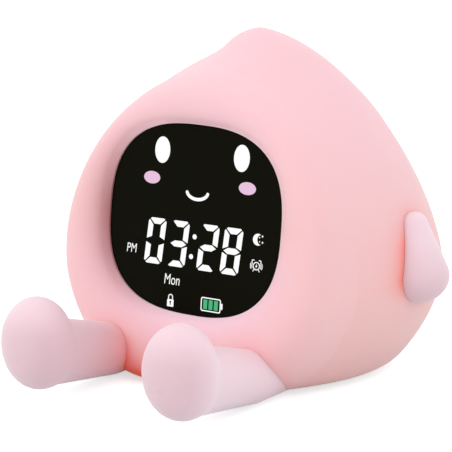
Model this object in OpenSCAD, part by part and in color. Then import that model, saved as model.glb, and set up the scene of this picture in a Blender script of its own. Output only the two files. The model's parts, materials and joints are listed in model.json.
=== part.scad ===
/* [Body] */
// Radius of the body where it is widest
body_r = 62; // [55:0.5:75]
// Height of the body's tip above the floor
body_h = 114; // [100:0.5:134]
// Height of the widest part above the floor
widest_z = 33.8; // [26:0.2:38]
// How deep the belly curve would reach if the base weren't flat
belly_depth = 51.5; // [44:0.5:60]
// Squareness of the curve between the widest part and the tip
crown_power = 1.53; // [1.4:0.01:1.9]
// Squareness of the belly curve
belly_power = 1.7; // [1.6:0.05:3]
// Thickness of the soft skin, with its fit on the housing
skin_wall = 2.6; // [2:0.1:3.5]
// Gap between the skin and the housing
skin_fit = 0.2; // [0.1:0.05:0.3]
// Height of the skin's flat underside above the floor
skin_lift = 0.8; // [0.5:0.1:1.2]

// Depth of the dent in front, below the tip
dent_depth = 1.6; // [0:0.1:1.8]
// Height of the dent below the tip
dent_drop = 9; // [7:0.5:12]

/* [Face] */
// Distance of the face's centre in front of the body's axis
face_y = 38.5; // [34:0.1:46]
// Height of the face's centre
face_z = 54.8; // [50:0.2:64]
// Lean of the face towards the back
face_tilt = 7.1; // [4:0.1:12]
// Half width of the visible window
window_w = 34; // [28:0.5:36]
// Half height of the visible window
window_h = 30.7; // [26:0.1:33]
// Squareness of the window's outline
window_power = 2.68; // [2.2:0.02:3.4]
// How far the lip stands in front of the face
lip_depth = 5.5; // [4:0.25:8]
// Width of the slope from the window up to the lip
lip_slope = 11; // [8:0.25:13]
// Half width of the muzzle that carries the lip
muzzle_w = 51.5; // [42:0.5:56]
// Half height of the muzzle that carries the lip
muzzle_h = 53; // [40:0.5:58]
// How far the muzzle's centre lies below the face's centre
muzzle_drop = 7.8; // [4:0.2:9]
// Rounding of the muzzle's front edge
muzzle_round = 10.8; // [8:0.2:14]

/* [Limbs] */
// Distance of each leg from the middle
leg_x = 28.2; // [24:0.2:34]
// Radius of the leg where it meets the body
leg_r = 9; // [9:0.2:12]
// Radius of the leg at the foot
ankle_r = 11.5; // [10:0.1:13]
// Height of the ankle below the middle of the foot
ankle_drop = 3.2; // [0:0.1:4]
// Distance of the foot's centre in front of the body's axis
foot_y = 84.6; // [74:0.2:95]
// Height of the foot's centre
foot_z = 19.6; // [15:0.1:23]
// Half width of the foot
foot_w = 12.2; // [11:0.1:15]
// Half length of the foot, along the leg
foot_l = 11; // [8:0.1:13]
// Half height of the foot
foot_h = 15.1; // [12:0.1:17]
// Radius of the shoulder
shoulder_r = 4.2; // [2.5:0.1:5]
// Height of the shoulder
shoulder_z = 53; // [48:0.5:56]
// Radius of the hand
hand_r = 8.2; // [6:0.1:9]
// Stretch of the arm along the body, for its thickness
arm_wide = 1.4; // [1:0.05:1.6]
// Height of the hand
hand_z = 36.2; // [28:0.1:40]
// Radius of the necks that hold the limbs
neck_r = 3.6; // [3:0.1:4]

/* [Housing] */
// Wall of the hard housing
shell_wall = 2; // [1.6:0.1:2.4]
// Radius of the base plate
plate_r = 40; // [36:0.5:42]
// Thickness of the base plate
plate_t = 1.8; // [1.4:0.1:2.4]
// Thickness of the anti-slip ring
pad_t = 1.5; // [1:0.1:2]
// Half width of the control panel
panel_w = 24; // [22:0.5:26]
// Half height of the control panel
panel_h = 33; // [31:0.5:35]
// Height of the control panel's centre
panel_z = 41; // [40:0.5:44]

/* [Controls] */
// Radius of a plain button
button_r = 3.8; // [3.2:0.1:4.4]
// Radius of the night light's button
light_button_r = 4.6; // [4:0.1:5]
// Sideways spacing of the buttons
button_pitch = 13; // [12:0.5:13.5]
// Height of the upper row of buttons
upper_row_z = 35; // [34:0.5:36]
// Height of the lower row of buttons
lower_row_z = 23; // [22:0.5:24]
// How far a button moves
button_travel = 0.6; // [0.4:0.05:0.8]
// How far a button stands out of the panel
button_proud = 0.9; // [0.8:0.05:1.2]
// Gap round a button
button_gap = 0.25; // [0.2:0.05:0.35]

/* [Display] */
// Height of a digit
digit_h = 15.5; // [13:0.25:16]
// Width of a digit
digit_w = 7.4; // [6.5:0.1:7.8]
// Width of a segment
segment_w = 1.7; // [1.2:0.1:2]
// Lean of the digits
digit_lean = 6; // [0:1:8]

/* [Battery and speaker] */
// Radius of the round battery cell
cell_r = 9.2; // [8.8:0.1:9.3]
// Length of the battery cell
cell_l = 65; // [60:0.5:66]
// Radius of the speaker's flange
speaker_r = 14; // [12:0.5:15]

/* [Hidden] */
$fn = 48;

// Colours
SKIN = "#f4b6b6";
LIMB = "#f0cdd6";
MILK = "#f2efe9";
WHITE = "#f7f7f5";
BLACK = "#14130f";
BOARD = "#1f5b3a";
STEEL = "#b9bcc0";

// Blends between the muzzle, the drop and the lip
muzzle_blend = 15;
front_blend = 12;
lip_blend = 3.5;
sole_blend = 5;
muzzle_taper = 0.11;
muzzle_power = 1.9;
muzzle_back = 45;
dent_spread = 6;
lip_edge = 0.8;
window_lap = 0.25;
bisections = 14;

// Heights inside
floor_z = pad_t + plate_t;
inner_floor_z = floor_z + shell_wall;
crown_inset = 1.6;
heel_cut = 5;
opening_r = plate_r - 8;
shell_out = skin_wall;
shell_mid = skin_wall + shell_wall / 2;
shell_in = skin_wall + shell_wall;
lap_fit = 0.1;
lap_length = 2.5;

// Display stack, measured back from the face
lens_t = 1.8;
gasket_t = 0.8;
shelf_t = 1.8;
lens_lap = 1.5;
pocket_fit = 0.3;
snout_wall = 1.8;
snout_depth = 14;
reflector_gap = 0.2;
reflector_back = 9;
display_board_t = 1.6;
post_r = 2;
post_inset = 0.5;
shelf_back = lens_t + gasket_t + shelf_t;
shelf_lap = 2.5;
snout_grow = lens_lap + pocket_fit;

// Screws
screw_r = 1.2;
pilot_fit = 0.05;
screw_head_r = 2.3;
screw_head_t = 1.1;
boss_r = 3.2;
base_boss = 25;
boss_top = 13;

// Limbs
arm_y = 2.6;
neck_fit = 0.1;
neck_z = 12.5;
arm_neck_z = 40;
clip_r = 4.8;
clip_gap = 0.1;
clip_t = 1.2;
limb_gap = 0.35;
arm_gap = 0.3;
hand_out = -0.2;
shoulder_in = 4;
leg_blend = 1.6;
leg_steps = 32;
leg_reach = 26;
leg_lift = 0.8;

// Controls
flange_r = button_r + 1;
flange_t = 1;
wall_gap = 0.15;
stem_r = 1.8;
plunger_r = 1.6;
switch_h = 3.5;
plunger_h = 0.8;
switch_w = 6;
board_t = 1.6;
board_w = 17.5;
board_bottom = 10.5;
panel_recess = 0.4;
panel_fit = 0.25;
panel_seat = 0.1;
peg_x = 20;
peg_z = 50;
peg_r = 1.2;
peg_fit = 0.15;
well_w = 0.7;
well_depth = 0.35;
charge_x = 8.4;
charge_r = 0.9;
reset_r = 0.5;
standoff_r = 2.4;
standoff_x = 14.4;
standoff_z = [15, max(42.7, upper_row_z + flange_r + standoff_r + 0.6)];
board_top = standoff_z[1] + 3;
panel_screw_x = 19.8;
panel_screw_z = 29;
usb_z = 13.5;
usb_w = 8.94;
usb_h = 3.16;
usb_wall = 0.35;
usb_recess = 0.5;
button_room = wall_gap + flange_t + 0.2 + button_travel + plunger_h + switch_h;
board_y = wall_y(button_pitch, lower_row_z, button_r + 1) - button_room;
plunger_top = board_y + switch_h + plunger_h;
usb_l = drop_radius(usb_z - usb_h / 2, panel_recess) - board_y - usb_recess;

// Speaker
speaker_z = 60.5;
speaker_room = 5;
speaker_y = drop_radius(speaker_z, shell_in) - speaker_room;
speaker_tilt = atan(drop_radius(speaker_z - 0.5, shell_in) - drop_radius(speaker_z + 0.5, shell_in));
speaker_ears_r = 17.2;

// Lamp and battery
lamp_y = 4;
lamp_z = 40;
lamp_r = 18;
stand_t = 2;
stand_x = 12;
stand_y = 13;
stand_post_r = 2.6;
stand_rib = 4;
rib_t = 1.6;
cell_z = 15.5;
strap_t = 1.2;
strap_w = 10;
touch_z = crown_top(shell_in) - 12.6;
touch_y = 8;
lead_r = 0.8;

// ---------------------------------------------------------------- shape of the body

function blend_min(a, b, k) = let (h = max(k - abs(a - b), 0) / k) min(a, b) - h * h * k / 4;
function blend_max(a, b, k) = -blend_min(-a, -b, k);

// Distance in front of the face, and height up the face, of a point
function ahead(y, z) = -cos(face_tilt) * (y + face_y) + sin(face_tilt) * (z - face_z);
function up_face(y, z) = sin(face_tilt) * (y + face_y) + cos(face_tilt) * (z - face_z);

// Radius of the drop at a height, with the wall taken off
function crown_top(inset) = body_h - crown_inset * inset;
function drop_radius(z, inset) =
    z > widest_z
        ? (body_r - inset)
            * pow(max(1 - pow((z - widest_z) / (crown_top(inset) - widest_z), crown_power), 0), 1 / crown_power)
        : (body_r - inset) * sqrt(1 - pow((widest_z - z) / belly_depth, belly_power));

// Negative inside, positive outside, about in millimetres
function crown_field(r, z) =
    pow(pow(r, crown_power) + pow((z - widest_z) / (body_h - widest_z), crown_power), 1 / crown_power);
function dent(y, r, z) =
    let (front = min(max(0.5 - 0.9 * y / max(r, 0.001), 0), 1), off = (z - body_h + dent_drop) / dent_spread)
    dent_depth / body_r * front * exp(-off * off);
function belly_field(r, z) = sqrt(r * r + pow((widest_z - z) / belly_depth, belly_power));
function drop_field(x, y, z) =
    let (r = norm([x, y]) / body_r)
    ((z > widest_z ? crown_field(r, z) + dent(y, r * body_r, z) : belly_field(r, z)) - 1) * body_r;

function muzzle_field(x, y, z) =
    let (
        front = ahead(y, z),
        across = abs(x) / muzzle_w,
        along = abs(up_face(y, z) + muzzle_drop) / muzzle_h,
        ring = pow(pow(across, muzzle_power) + pow(along, muzzle_power), 1 / muzzle_power),
        side = (ring - 1) * muzzle_w + muzzle_taper * max(-front, 0) + muzzle_round,
        nose = front - lip_depth + muzzle_round,
        rounded = norm([max(side, 0), max(nose, 0)]) - muzzle_round + min(max(side, nose), 0)
    )
    max(rounded, -front - muzzle_back);

// The slope that leads from the lip down to the window, steeper towards the window
function slope_field(x, y, z) =
    let (
        across = abs(x) / (window_w + window_lap),
        along = abs(up_face(y, z)) / (window_h + window_lap),
        ring = pow(pow(across, window_power) + pow(along, window_power), 1 / window_power),
        out = min(max(ring - 1, 0) * window_w / lip_slope, 1.9)
    )
    ahead(y, z) - lip_edge - (lip_depth - lip_edge) * out * (1.35 - 0.35 * out);

function body_field(x, y, z) =
    let (
        drop = blend_max(drop_field(x, y, z), ahead(y, z) - lip_depth, front_blend),
        whole = blend_min(drop, muzzle_field(x, y, z), muzzle_blend),
        soled = blend_max(whole, skin_lift - z, sole_blend)
    )
    blend_max(soled, slope_field(x, y, z), lip_blend);

// ---------------------------------------------------------------- general shapes

function squircle_r(a, b, power, t) =
    pow(pow(abs(cos(t)) / a, power) + pow(abs(sin(t)) / b, power), -1 / power);
function squircle(a, b, power, steps) =
    [for (i = [0:steps - 1])
        let (t = 360 * i / steps, r = squircle_r(a, b, power, t))
        [r * cos(t), r * sin(t)]];

module window_outline(grow) {
    polygon(squircle(window_w + grow, window_h + grow, window_power, 64));
}

// A closed solid through rings of equal length, with a point at each end
module lofted(rings, first, last) {
    count = len(rings[0]);
    points = concat([first], [for (ring = rings) each ring], [last]);
    end = len(points) - 1;
    side = [
        for (k = [0:len(rings) - 2], j = [0:count - 1])
            let (a = 1 + k * count, b = a + count, n = (j + 1) % count)
            each [[a + j, b + j, b + n], [a + j, b + n, a + n]]
    ];
    cap = [for (j = [0:count - 1]) [0, 1 + j, 1 + (j + 1) % count]];
    foot = 1 + (len(rings) - 1) * count;
    base = [for (j = [0:count - 1]) [end, foot + (j + 1) % count, foot + j]];
    polyhedron(points, concat(cap, side, base));
}

function drop_profile(inset, bottom) =
    let (top = crown_top(inset), steps = 26)
    concat(
        [[0, bottom], [drop_radius(bottom, inset) - heel_cut, bottom]],
        [for (i = [1:steps - 1])
            let (z = bottom + (top - bottom) * sin(90 * i / steps))
            [drop_radius(z, inset), z]],
        [[0, top]]
    );

module drop_solid(inset, bottom) {
    rotate_extrude($fn = 96) polygon(drop_profile(inset, bottom));
}

module face_frame() {
    translate([0, -face_y, face_z]) rotate([90 - face_tilt, 0, 0]) children();
}

// A plate parallel to the face, from one distance behind it to another
module face_slab(front, back) {
    face_frame() translate([0, 0, -back]) linear_extrude(back - front) children();
}

module core_solid(inset, bottom, front) {
    intersection() {
        drop_solid(inset, bottom);
        face_frame() translate([-100, -100, -front - 200]) cube(200);
    }
}

module half_space(front, back) {
    translate([-100, front, -10]) cube([200, back - front, 200]);
}

module tube(outer, inner, height) {
    difference() {
        cylinder(r = outer, h = height);
        translate([0, 0, -1]) cylinder(r = inner, h = height + 2);
    }
}

module along_y(x, y, z) {
    translate([x, y, z]) rotate([-90, 0, 0]) children();
}

// A screw with its head at the origin and its shank along Z
module screw(length) {
    translate([0, 0, -screw_head_t]) cylinder(r = screw_head_r, h = screw_head_t);
    cylinder(r = screw_r, h = length);
}

// ---------------------------------------------------------------- skin

skin_around = 64;
skin_rings = 34;
eye_depth = 45;
crowding = 0.45;

// A point of the face's own frame, in the body's frame
function from_face(p) =
    [
        p[0],
        -face_y + sin(face_tilt) * p[1] - cos(face_tilt) * p[2],
        face_z + cos(face_tilt) * p[1] + sin(face_tilt) * p[2]
    ];

function far_out(from, way, near, far, turns) =
    let (middle = (near + far) / 2, p = from + middle * way)
    turns == 0
        ? p
        : body_field(p[0], p[1], p[2]) < 0
            ? far_out(from, way, middle, far, turns - 1)
            : far_out(from, way, near, middle, turns - 1);

module skin_outer() {
    eye = from_face([0, 0, -eye_depth]);
    // Azimuths crowd towards the tip
    turns = [for (j = [0:skin_around - 1]) let (t = 360 * j / skin_around) t + crowding * 180 / PI * cos(t)];
    edges = [for (t = turns) squircle_r(window_w + window_lap, window_h + window_lap, window_power, t)];
    rings = [
        for (k = [0:skin_rings - 1])
            [
                for (j = [0:skin_around - 1])
                    let (
                        start = atan(edges[j] / (eye_depth + lip_edge)),
                        swing = start + (180 - start) * pow(k / skin_rings, 1.5),
                        way = [sin(swing) * cos(turns[j]), sin(swing) * sin(turns[j]), cos(swing)]
                    )
                    k == 0
                        ? from_face([edges[j] * cos(turns[j]), edges[j] * sin(turns[j]), lip_edge])
                        : far_out(eye, from_face(way) - from_face([0, 0, 0]), 5, 120, bisections)
            ]
    ];
    back = far_out(eye, from_face([0, 0, -1]) - from_face([0, 0, 0]), 5, 120, bisections);
    lofted(rings, from_face([0, 0, lip_edge]), back);
}

module rear_prism(grow) {
    translate([0, 100, panel_z]) rotate([90, 0, 0]) linear_extrude(70)
        polygon(squircle(panel_w + grow, panel_h + grow, window_power, 48));
}

module limb_holes(r) {
    for (side = [-1, 1]) {
        along_y(side * leg_x, -70, neck_z) cylinder(r = r, h = 40);
        translate([side * 40, arm_y, arm_neck_z]) rotate([0, side * 90, 0]) cylinder(r = r, h = 40);
    }
}

module body_skin() {
    color(SKIN)
    difference() {
        skin_outer();
        core_solid(shell_out - skin_fit, floor_z - skin_fit, 0);
        face_slab(0, snout_depth + 1) window_outline(snout_grow + snout_wall + skin_fit);
        face_slab(-lip_depth - 10, 1) window_outline(0);
        translate([0, 0, -1]) cylinder(r = plate_r + panel_fit, h = floor_z + 2);
        rear_prism(panel_fit);
        limb_holes(neck_r + neck_fit);
    }
}

// ---------------------------------------------------------------- limbs

function foot_field(x, y, z) =
    let (n = norm([x / foot_w, (y + foot_y) / foot_l, (z - foot_z) / foot_h]))
    (n - 1) * min(foot_w, foot_l, foot_h);
// The leg narrows from the ankle to the body, and comes down to the table
ankle_y = foot_y - 2;
ankle_z = foot_z - ankle_drop;
function leg_share(y) = min(max((y + ankle_y) / leg_reach, 0), 1);
function leg_middle(y) = ankle_z + leg_share(y) * (leg_lift + leg_r - ankle_z);
function leg_field(x, y, z) =
    let (
        r = ankle_r + leg_share(y) * (leg_r - ankle_r),
        tube = norm([x, z - leg_middle(y), max(-y - ankle_y, 0)]) - r
    )
    blend_min(foot_field(x, y, z), tube, leg_blend);

function leg_edge(t, y, near, far, turns) =
    let (middle = (near + far) / 2)
    turns == 0
        ? middle
        : leg_field(middle * cos(t), y, leg_middle(y) + middle * sin(t)) < 0
            ? leg_edge(t, y, middle, far, turns - 1)
            : leg_edge(t, y, near, middle, turns - 1);

// Where a line along the leg meets the body
function body_front(x, z, near, far, turns) =
    let (middle = (near + far) / 2)
    turns == 0
        ? middle
        : body_field(x, middle, max(z, skin_lift + 0.7 * sole_blend)) > limb_gap
            ? body_front(x, z, middle, far, turns - 1)
            : body_front(x, z, near, middle, turns - 1);

module leg(side) {
    nose = foot_y + foot_l;
    angles = [for (j = [0:leg_steps - 1]) -360 * j / leg_steps];
    stations = [
        for (a = [15:15:150]) -foot_y - foot_l * cos(a),
        -foot_y + foot_l + 1,
        -foot_y + foot_l + 6
    ];
    rings = [
        for (y = stations)
            [
                for (t = angles)
                    let (r = leg_edge(t, y, 0.01, 30, bisections))
                    [leg_x + r * cos(t), y, leg_middle(y) + r * sin(t)]
            ]
    ];
    end_z = leg_middle(-face_y);
    ends = [
        for (share = [1, 0.66, 0.33])
            [
                for (t = angles)
                    let (
                        r = leg_edge(t, -face_y, 0.01, 30, bisections),
                        x = leg_x + share * r * cos(t),
                        z = end_z + share * r * sin(t)
                    )
                    [x, body_front(x, z, -62, -20, bisections), z]
            ]
    ];
    root_y = body_front(leg_x, end_z, -62, -20, bisections);
    neck_end = -leg_clip_y + clip_t + 1;
    mirror([side < 0 ? 1 : 0, 0, 0])
    union() {
        lofted(concat(rings, ends), [leg_x, -nose, foot_z], [leg_x, root_y, end_z]);
        along_y(leg_x, root_y - 4, neck_z) cylinder(r = neck_r, h = neck_end - root_y + 4);
    }
}

module left_leg() {
    color(LIMB) leg(-1);
}

module right_leg() {
    color(LIMB) leg(1);
}

shoulder_x = drop_radius(shoulder_z, 0) - shoulder_in + shoulder_r;
hand_x = drop_radius(hand_z, 0) + hand_out;
arm_clip_x = sqrt(pow(drop_radius(arm_neck_z + clip_r, shell_in), 2) - pow(arm_y + clip_r, 2)) - wall_gap;
face_wall_y = face_y - (sin(face_tilt) * (neck_z + clip_r - face_z) + shell_wall + 0.4) / cos(face_tilt);
leg_clip_y = min(
    sqrt(pow(drop_radius(neck_z - clip_r, shell_in) - heel_cut, 2) - pow(leg_x, 2)) - 0.3,
    face_wall_y
);

module arm(side) {
    mirror([side < 0 ? 1 : 0, 0, 0])
    union() {
        difference() {
            translate([0, arm_y, 0]) scale([1, arm_wide, 1]) hull() {
                translate([shoulder_x, 0.7, shoulder_z]) sphere(r = shoulder_r, $fn = 32);
                translate([hand_x, 0, hand_z]) sphere(r = hand_r, $fn = 32);
            }
            drop_solid(-arm_gap, floor_z);
        }
        translate([arm_clip_x - clip_t - 1, arm_y, arm_neck_z]) rotate([0, 90, 0])
            cylinder(r = neck_r, h = hand_x - arm_clip_x + clip_t);
    }
}

module left_arm() {
    color(LIMB) arm(-1);
}

module right_arm() {
    color(LIMB) arm(1);
}

module limb_clips() {
    color(WHITE)
    for (side = [-1, 1]) {
        along_y(side * leg_x, -leg_clip_y, neck_z) tube(clip_r, neck_r + neck_fit, clip_t);
        translate([side * (arm_clip_x - clip_t), arm_y, arm_neck_z]) rotate([0, side * 90, 0])
            tube(clip_r, neck_r + neck_fit, clip_t);
    }
}

// ---------------------------------------------------------------- display

digit_x = [-15.3, -5.9, 6, 15.3];
digit_y = -8.44;
post_share = pow(0.5, 1 / window_power);
half_digit = digit_h / 2;
half_width = (digit_w - segment_w) / 2;
half_height = (digit_h - segment_w) / 2;

// Middle and direction of each segment of a digit: a to g
SEGMENTS = [
    [[0, half_height], 0], [[half_width, half_height / 2], 90], [[half_width, -half_height / 2], 90],
    [[0, -half_height], 0], [[-half_width, -half_height / 2], 90], [[-half_width, half_height / 2], 90],
    [[0, 0], 0]
];

function lean(p) = [p[0] + p[1] * tan(digit_lean), p[1]];

module segment(length) {
    half = length / 2 - 0.25;
    tip = segment_w / 2;
    polygon([[-half, 0], [tip - half, tip], [half - tip, tip], [half, 0], [half - tip, -tip], [tip - half, -tip]]);
}

module digit_places() {
    for (x = digit_x, s = SEGMENTS) {
        middle = lean(s[0]);
        translate([x + middle[0], digit_y + middle[1]]) rotate(s[1] == 0 ? 0 : 90 - digit_lean)
            segment(s[1] == 0 ? digit_w - segment_w : (digit_h - segment_w) / 2);
    }
}

// Places of the lit signs: the face, the dots and the small signs
EYES = [[-14.6, 21.7], [16.5, 21.7]];
CHEEKS = [[-18, 12.5], [19.4, 12.5]];
DOTS = [[0.5, -5.4], [-0.5, -12]];
SIGNS = [[-24.5, -12], [-7.7, -20.5], [-7.7, -26], [8.4, -26], [24.8, -3.8], [24.8, -12.2]];
eye_r = 3;
sign_r = 2.3;
dot_r = 0.9;
mouth_x = 0.5;
mouth_y = 8.4;
mouth_r = 4;

module sign_wells() {
    for (p = EYES) translate(p) circle(r = eye_r);
    for (p = CHEEKS) translate(p) circle(r = eye_r);
    for (p = DOTS) translate(p) circle(r = dot_r);
    for (p = SIGNS) translate(p) circle(r = sign_r);
    translate([mouth_x, mouth_y]) circle(r = mouth_r);
}

module board_posts() {
    for (x = [-1, 1], y = [-1, 1])
        translate([
            x * (window_w - post_inset) * post_share,
            y * (window_h - post_inset) * post_share
        ])
            children();
}

module display_lens() {
    color(BLACK) face_slab(0, lens_t) window_outline(lens_lap);
}

module lens_gasket() {
    color("#3b3a38")
    face_slab(lens_t, lens_t + gasket_t) difference() {
        window_outline(lens_lap);
        window_outline(-shelf_lap);
    }
}

module display_reflector() {
    color(WHITE)
    face_slab(lens_t + reflector_gap, reflector_back) difference() {
        window_outline(-shelf_lap - pocket_fit);
        digit_places();
        sign_wells();
    }
}

ribbon_half = 5;
socket_h = 2.2;
socket_y = -17;
display_board_back = reflector_back + display_board_t;

module display_board() {
    color(BOARD) {
        face_slab(reflector_back, display_board_back) difference() {
            window_outline(lens_lap - 0.2);
            board_posts() circle(r = screw_r + 0.2);
        }
        face_slab(display_board_back, display_board_back + socket_h)
            translate([-ribbon_half - 1, socket_y - 2]) square([2 * ribbon_half + 2, 4]);
    }
}

module display_leds() {
    led = 0.7;
    color("#f4f0c8")
    face_slab(reflector_back - led, reflector_back) {
        for (x = digit_x, s = SEGMENTS) translate([x, digit_y] + lean(s[0])) square([1, 0.8], center = true);
        for (p = concat(EYES, CHEEKS, SIGNS, [[mouth_x, mouth_y]])) translate(p) square([1.6, 0.8], center = true);
        for (p = DOTS) translate(p) square([1, 0.8], center = true);
    }
}

module display_screws() {
    color(STEEL)
    face_frame() translate([0, 0, -display_board_back]) board_posts() screw(display_board_back - shelf_back);
}

// ---------------------------------------------------------------- housing

module base_bosses(front) {
    for (side = [-1, 1])
        translate([side * base_boss, front ? -base_boss : base_boss, inner_floor_z - 1])
            cylinder(r = boss_r, h = boss_top - inner_floor_z + 1);
}

module base_pilots() {
    for (x = [-1, 1], y = [-1, 1])
        translate([x * base_boss, y * base_boss, 0]) cylinder(r = screw_r + pilot_fit, h = boss_top - 1);
}

// Seats for the clips of the leg necks
module neck_seats() {
    intersection() {
        core_solid(shell_mid, floor_z, 1);
        for (side = [-1, 1])
            along_y(side * leg_x, -leg_clip_y - clip_gap - 20, neck_z) cylinder(r = clip_r + 0.4, h = 20);
    }
}

module front_housing() {
    rim = snout_grow + snout_wall;
    color(MILK)
    difference() {
        union() {
            intersection() {
                difference() {
                    core_solid(shell_out, floor_z, 0);
                    core_solid(shell_in, inner_floor_z, shell_wall);
                }
                half_space(-100, 0);
            }
            difference() {
                face_slab(0, snout_depth) window_outline(rim);
                face_slab(shelf_back, snout_depth + 1) difference() {
                    window_outline(snout_grow);
                    board_posts() circle(r = post_r);
                }
            }
            base_bosses(true);
            neck_seats();
        }
        face_slab(-1, lens_t + gasket_t) window_outline(snout_grow);
        face_slab(lens_t, snout_depth + 20) window_outline(-shelf_lap);
        face_slab(reflector_back, snout_depth + 1) window_outline(snout_grow);
        face_slab(lens_t + 2, snout_depth) board_posts() circle(r = screw_r + pilot_fit);
        intersection() {
            core_solid(shell_mid, floor_z + shell_wall / 2, shell_wall / 2);
            half_space(-lap_length - lap_fit, 1);
        }
        translate([0, 0, floor_z - 1]) cylinder(r = opening_r, h = shell_wall + 2);
        base_pilots();
        limb_holes(neck_r + neck_fit);
    }
}

module wall_bosses() {
    for (side = [-1, 1]) {
        for (z = standoff_z)
            along_y(side * standoff_x, board_y, z) cylinder(r = standoff_r, h = 20);
        along_y(side * panel_screw_x, board_y + 1, panel_screw_z) cylinder(r = standoff_r, h = 20);
    }
    speaker_place() {
        tube(speaker_r, speaker_r - 2.2, 20);
        speaker_ears() cylinder(r = standoff_r, h = 20);
    }
    translate([0, touch_y, touch_z + 0.5]) cylinder(r = boss_r, h = 20);
}

module wall_pilots() {
    for (side = [-1, 1]) {
        for (z = standoff_z)
            along_y(side * standoff_x, board_y - 1, z) cylinder(r = screw_r + pilot_fit, h = 6);
        along_y(side * panel_screw_x, board_y, panel_screw_z) cylinder(r = screw_r + pilot_fit, h = 20);
    }
    speaker_place() {
        speaker_ears() translate([0, 0, -1]) cylinder(r = screw_r + pilot_fit, h = 4.6);
        sound_holes();
    }
}

module rear_housing() {
    color(MILK)
    difference() {
        union() {
            intersection() {
                difference() {
                    core_solid(shell_out, floor_z, 0);
                    core_solid(shell_in, inner_floor_z, shell_wall);
                }
                half_space(0, 100);
            }
            intersection() {
                difference() {
                    core_solid(shell_mid + lap_fit, floor_z + shell_wall / 2 + lap_fit, shell_wall);
                    core_solid(shell_in, inner_floor_z, shell_wall);
                }
                half_space(-lap_length, 1);
            }
            intersection() {
                core_solid(shell_mid, floor_z, 0);
                wall_bosses();
            }
            base_bosses(false);
        }
        translate([0, 0, floor_z - 1]) cylinder(r = opening_r, h = shell_wall + 2);
        base_pilots();
        limb_holes(neck_r + neck_fit);
        wall_pilots();
        button_places() cylinder(r = $cap_r + button_gap, h = 60);
        along_y(0, board_y, usb_z) linear_extrude(20) usb_outline(0.4);
        small_holes(20);
        panel_pegs(peg_r + peg_fit, peg_l + 1);
    }
}

module control_panel() {
    color(MILK)
    difference() {
        union() {
            intersection() {
                difference() {
                    drop_solid(panel_recess, 0);
                    drop_solid(shell_out - panel_seat, floor_z);
                }
                rear_prism(0);
            }
            panel_pegs(peg_r, peg_l);
        }
        button_places() cylinder(r = $cap_r + button_gap, h = 60);
        along_y(0, board_y, usb_z) linear_extrude(20) usb_outline(0.4);
        for (side = [-1, 1]) {
            along_y(side * panel_screw_x, board_y, panel_screw_z) cylinder(r = screw_r + 0.2, h = 20);
            along_y(side * panel_screw_x, panel_screw_y, panel_screw_z) cylinder(r = screw_head_r + 0.2, h = 10);
        }
        speaker_place() sound_holes();
        intersection() {
            button_places() cylinder(r = $cap_r + button_gap + well_w, h = 60);
            drop_solid(panel_recess - 5, 0);
            difference() {
                half_space(0, 100);
                drop_solid(panel_recess + well_depth, 0);
            }
        }
        small_holes(20);
    }
}

// Two pegs on the panel's inside locate it in the rear housing
peg_y = sqrt(pow(drop_radius(peg_z, shell_in), 2) - pow(peg_x, 2)) - 1;
peg_l = sqrt(pow(drop_radius(peg_z + peg_r, panel_recess), 2) - pow(peg_x + peg_r, 2)) - 0.4 - peg_y;

module panel_pegs(r, length) {
    for (side = [-1, 1]) along_y(side * peg_x, peg_y, peg_z) cylinder(r = r, h = length);
}

// The charge light's window and the reset hole, beside the inlet
module small_holes(length) {
    along_y(charge_x, board_y, usb_z) cylinder(r = charge_r, h = length);
    along_y(-charge_x, board_y, usb_z) cylinder(r = reset_r, h = length);
}

// The heads are sunk into the panel's curved face
panel_screw_y =
    sqrt(pow(drop_radius(panel_screw_z, shell_out), 2) - pow(panel_screw_x - screw_head_r - 0.2, 2)) + 0.3;

module panel_screws() {
    color(STEEL)
    for (side = [-1, 1])
        translate([side * panel_screw_x, panel_screw_y, panel_screw_z]) rotate([90, 0, 0])
            screw(panel_screw_y - board_y - 3);
}

// ---------------------------------------------------------------- controls

// Each button: column, row and cap radius
BUTTONS = [
    ["alarm", -1, upper_row_z, button_r], ["light", 0, upper_row_z, light_button_r],
    ["sound", 1, upper_row_z, button_r], ["down", -1, lower_row_z, button_r],
    ["set", 0, lower_row_z, button_r], ["up", 1, lower_row_z, button_r]
];

module button_places() {
    for (b = BUTTONS) {
        $cap_r = b[3];
        along_y(b[1] * button_pitch, board_y + 5, b[2]) children();
    }
}

// How far back the housing's inner wall is, over a disc
function wall_y(x, z, r) =
    let (far = min(drop_radius(z - r, shell_in), drop_radius(z + r, shell_in)))
    sqrt(far * far - pow(abs(x) + r, 2));

module button(index) {
    b = BUTTONS[index];
    x = b[1] * button_pitch;
    shoulder = wall_y(x, b[2], b[3] + 1) - wall_gap;
    start = plunger_top + button_travel + 0.05;
    color(WHITE)
    intersection() {
        union() {
            along_y(x, start, b[2]) cylinder(r = stem_r, h = shoulder - start);
            along_y(x, shoulder - flange_t, b[2]) cylinder(r = b[3] + 1, h = flange_t);
            along_y(x, shoulder - flange_t, b[2]) cylinder(r = b[3], h = 30);
        }
        drop_solid(panel_recess - button_proud, 0);
    }
}

module alarm_button() {
    button(0);
}

module light_button() {
    button(1);
}

module sound_button() {
    button(2);
}

module down_button() {
    button(3);
}

module set_button() {
    button(4);
}

module up_button() {
    button(5);
}

module usb_outline(grow) {
    flat = (usb_w - usb_h) / 2;
    for (side = [-1, 1]) translate([side * flat, 0]) circle(r = usb_h / 2 + grow);
    square([2 * flat, usb_h + 2 * grow], center = true);
}

module usb_socket() {
    color(STEEL)
    along_y(0, board_y, usb_z) {
        difference() {
            linear_extrude(usb_l) usb_outline(0);
            translate([0, 0, 2]) linear_extrude(usb_l) usb_outline(-usb_wall);
        }
        translate([-3.3, -0.35, 1]) cube([6.6, 0.7, usb_l - 2.5]);
    }
}

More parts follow.
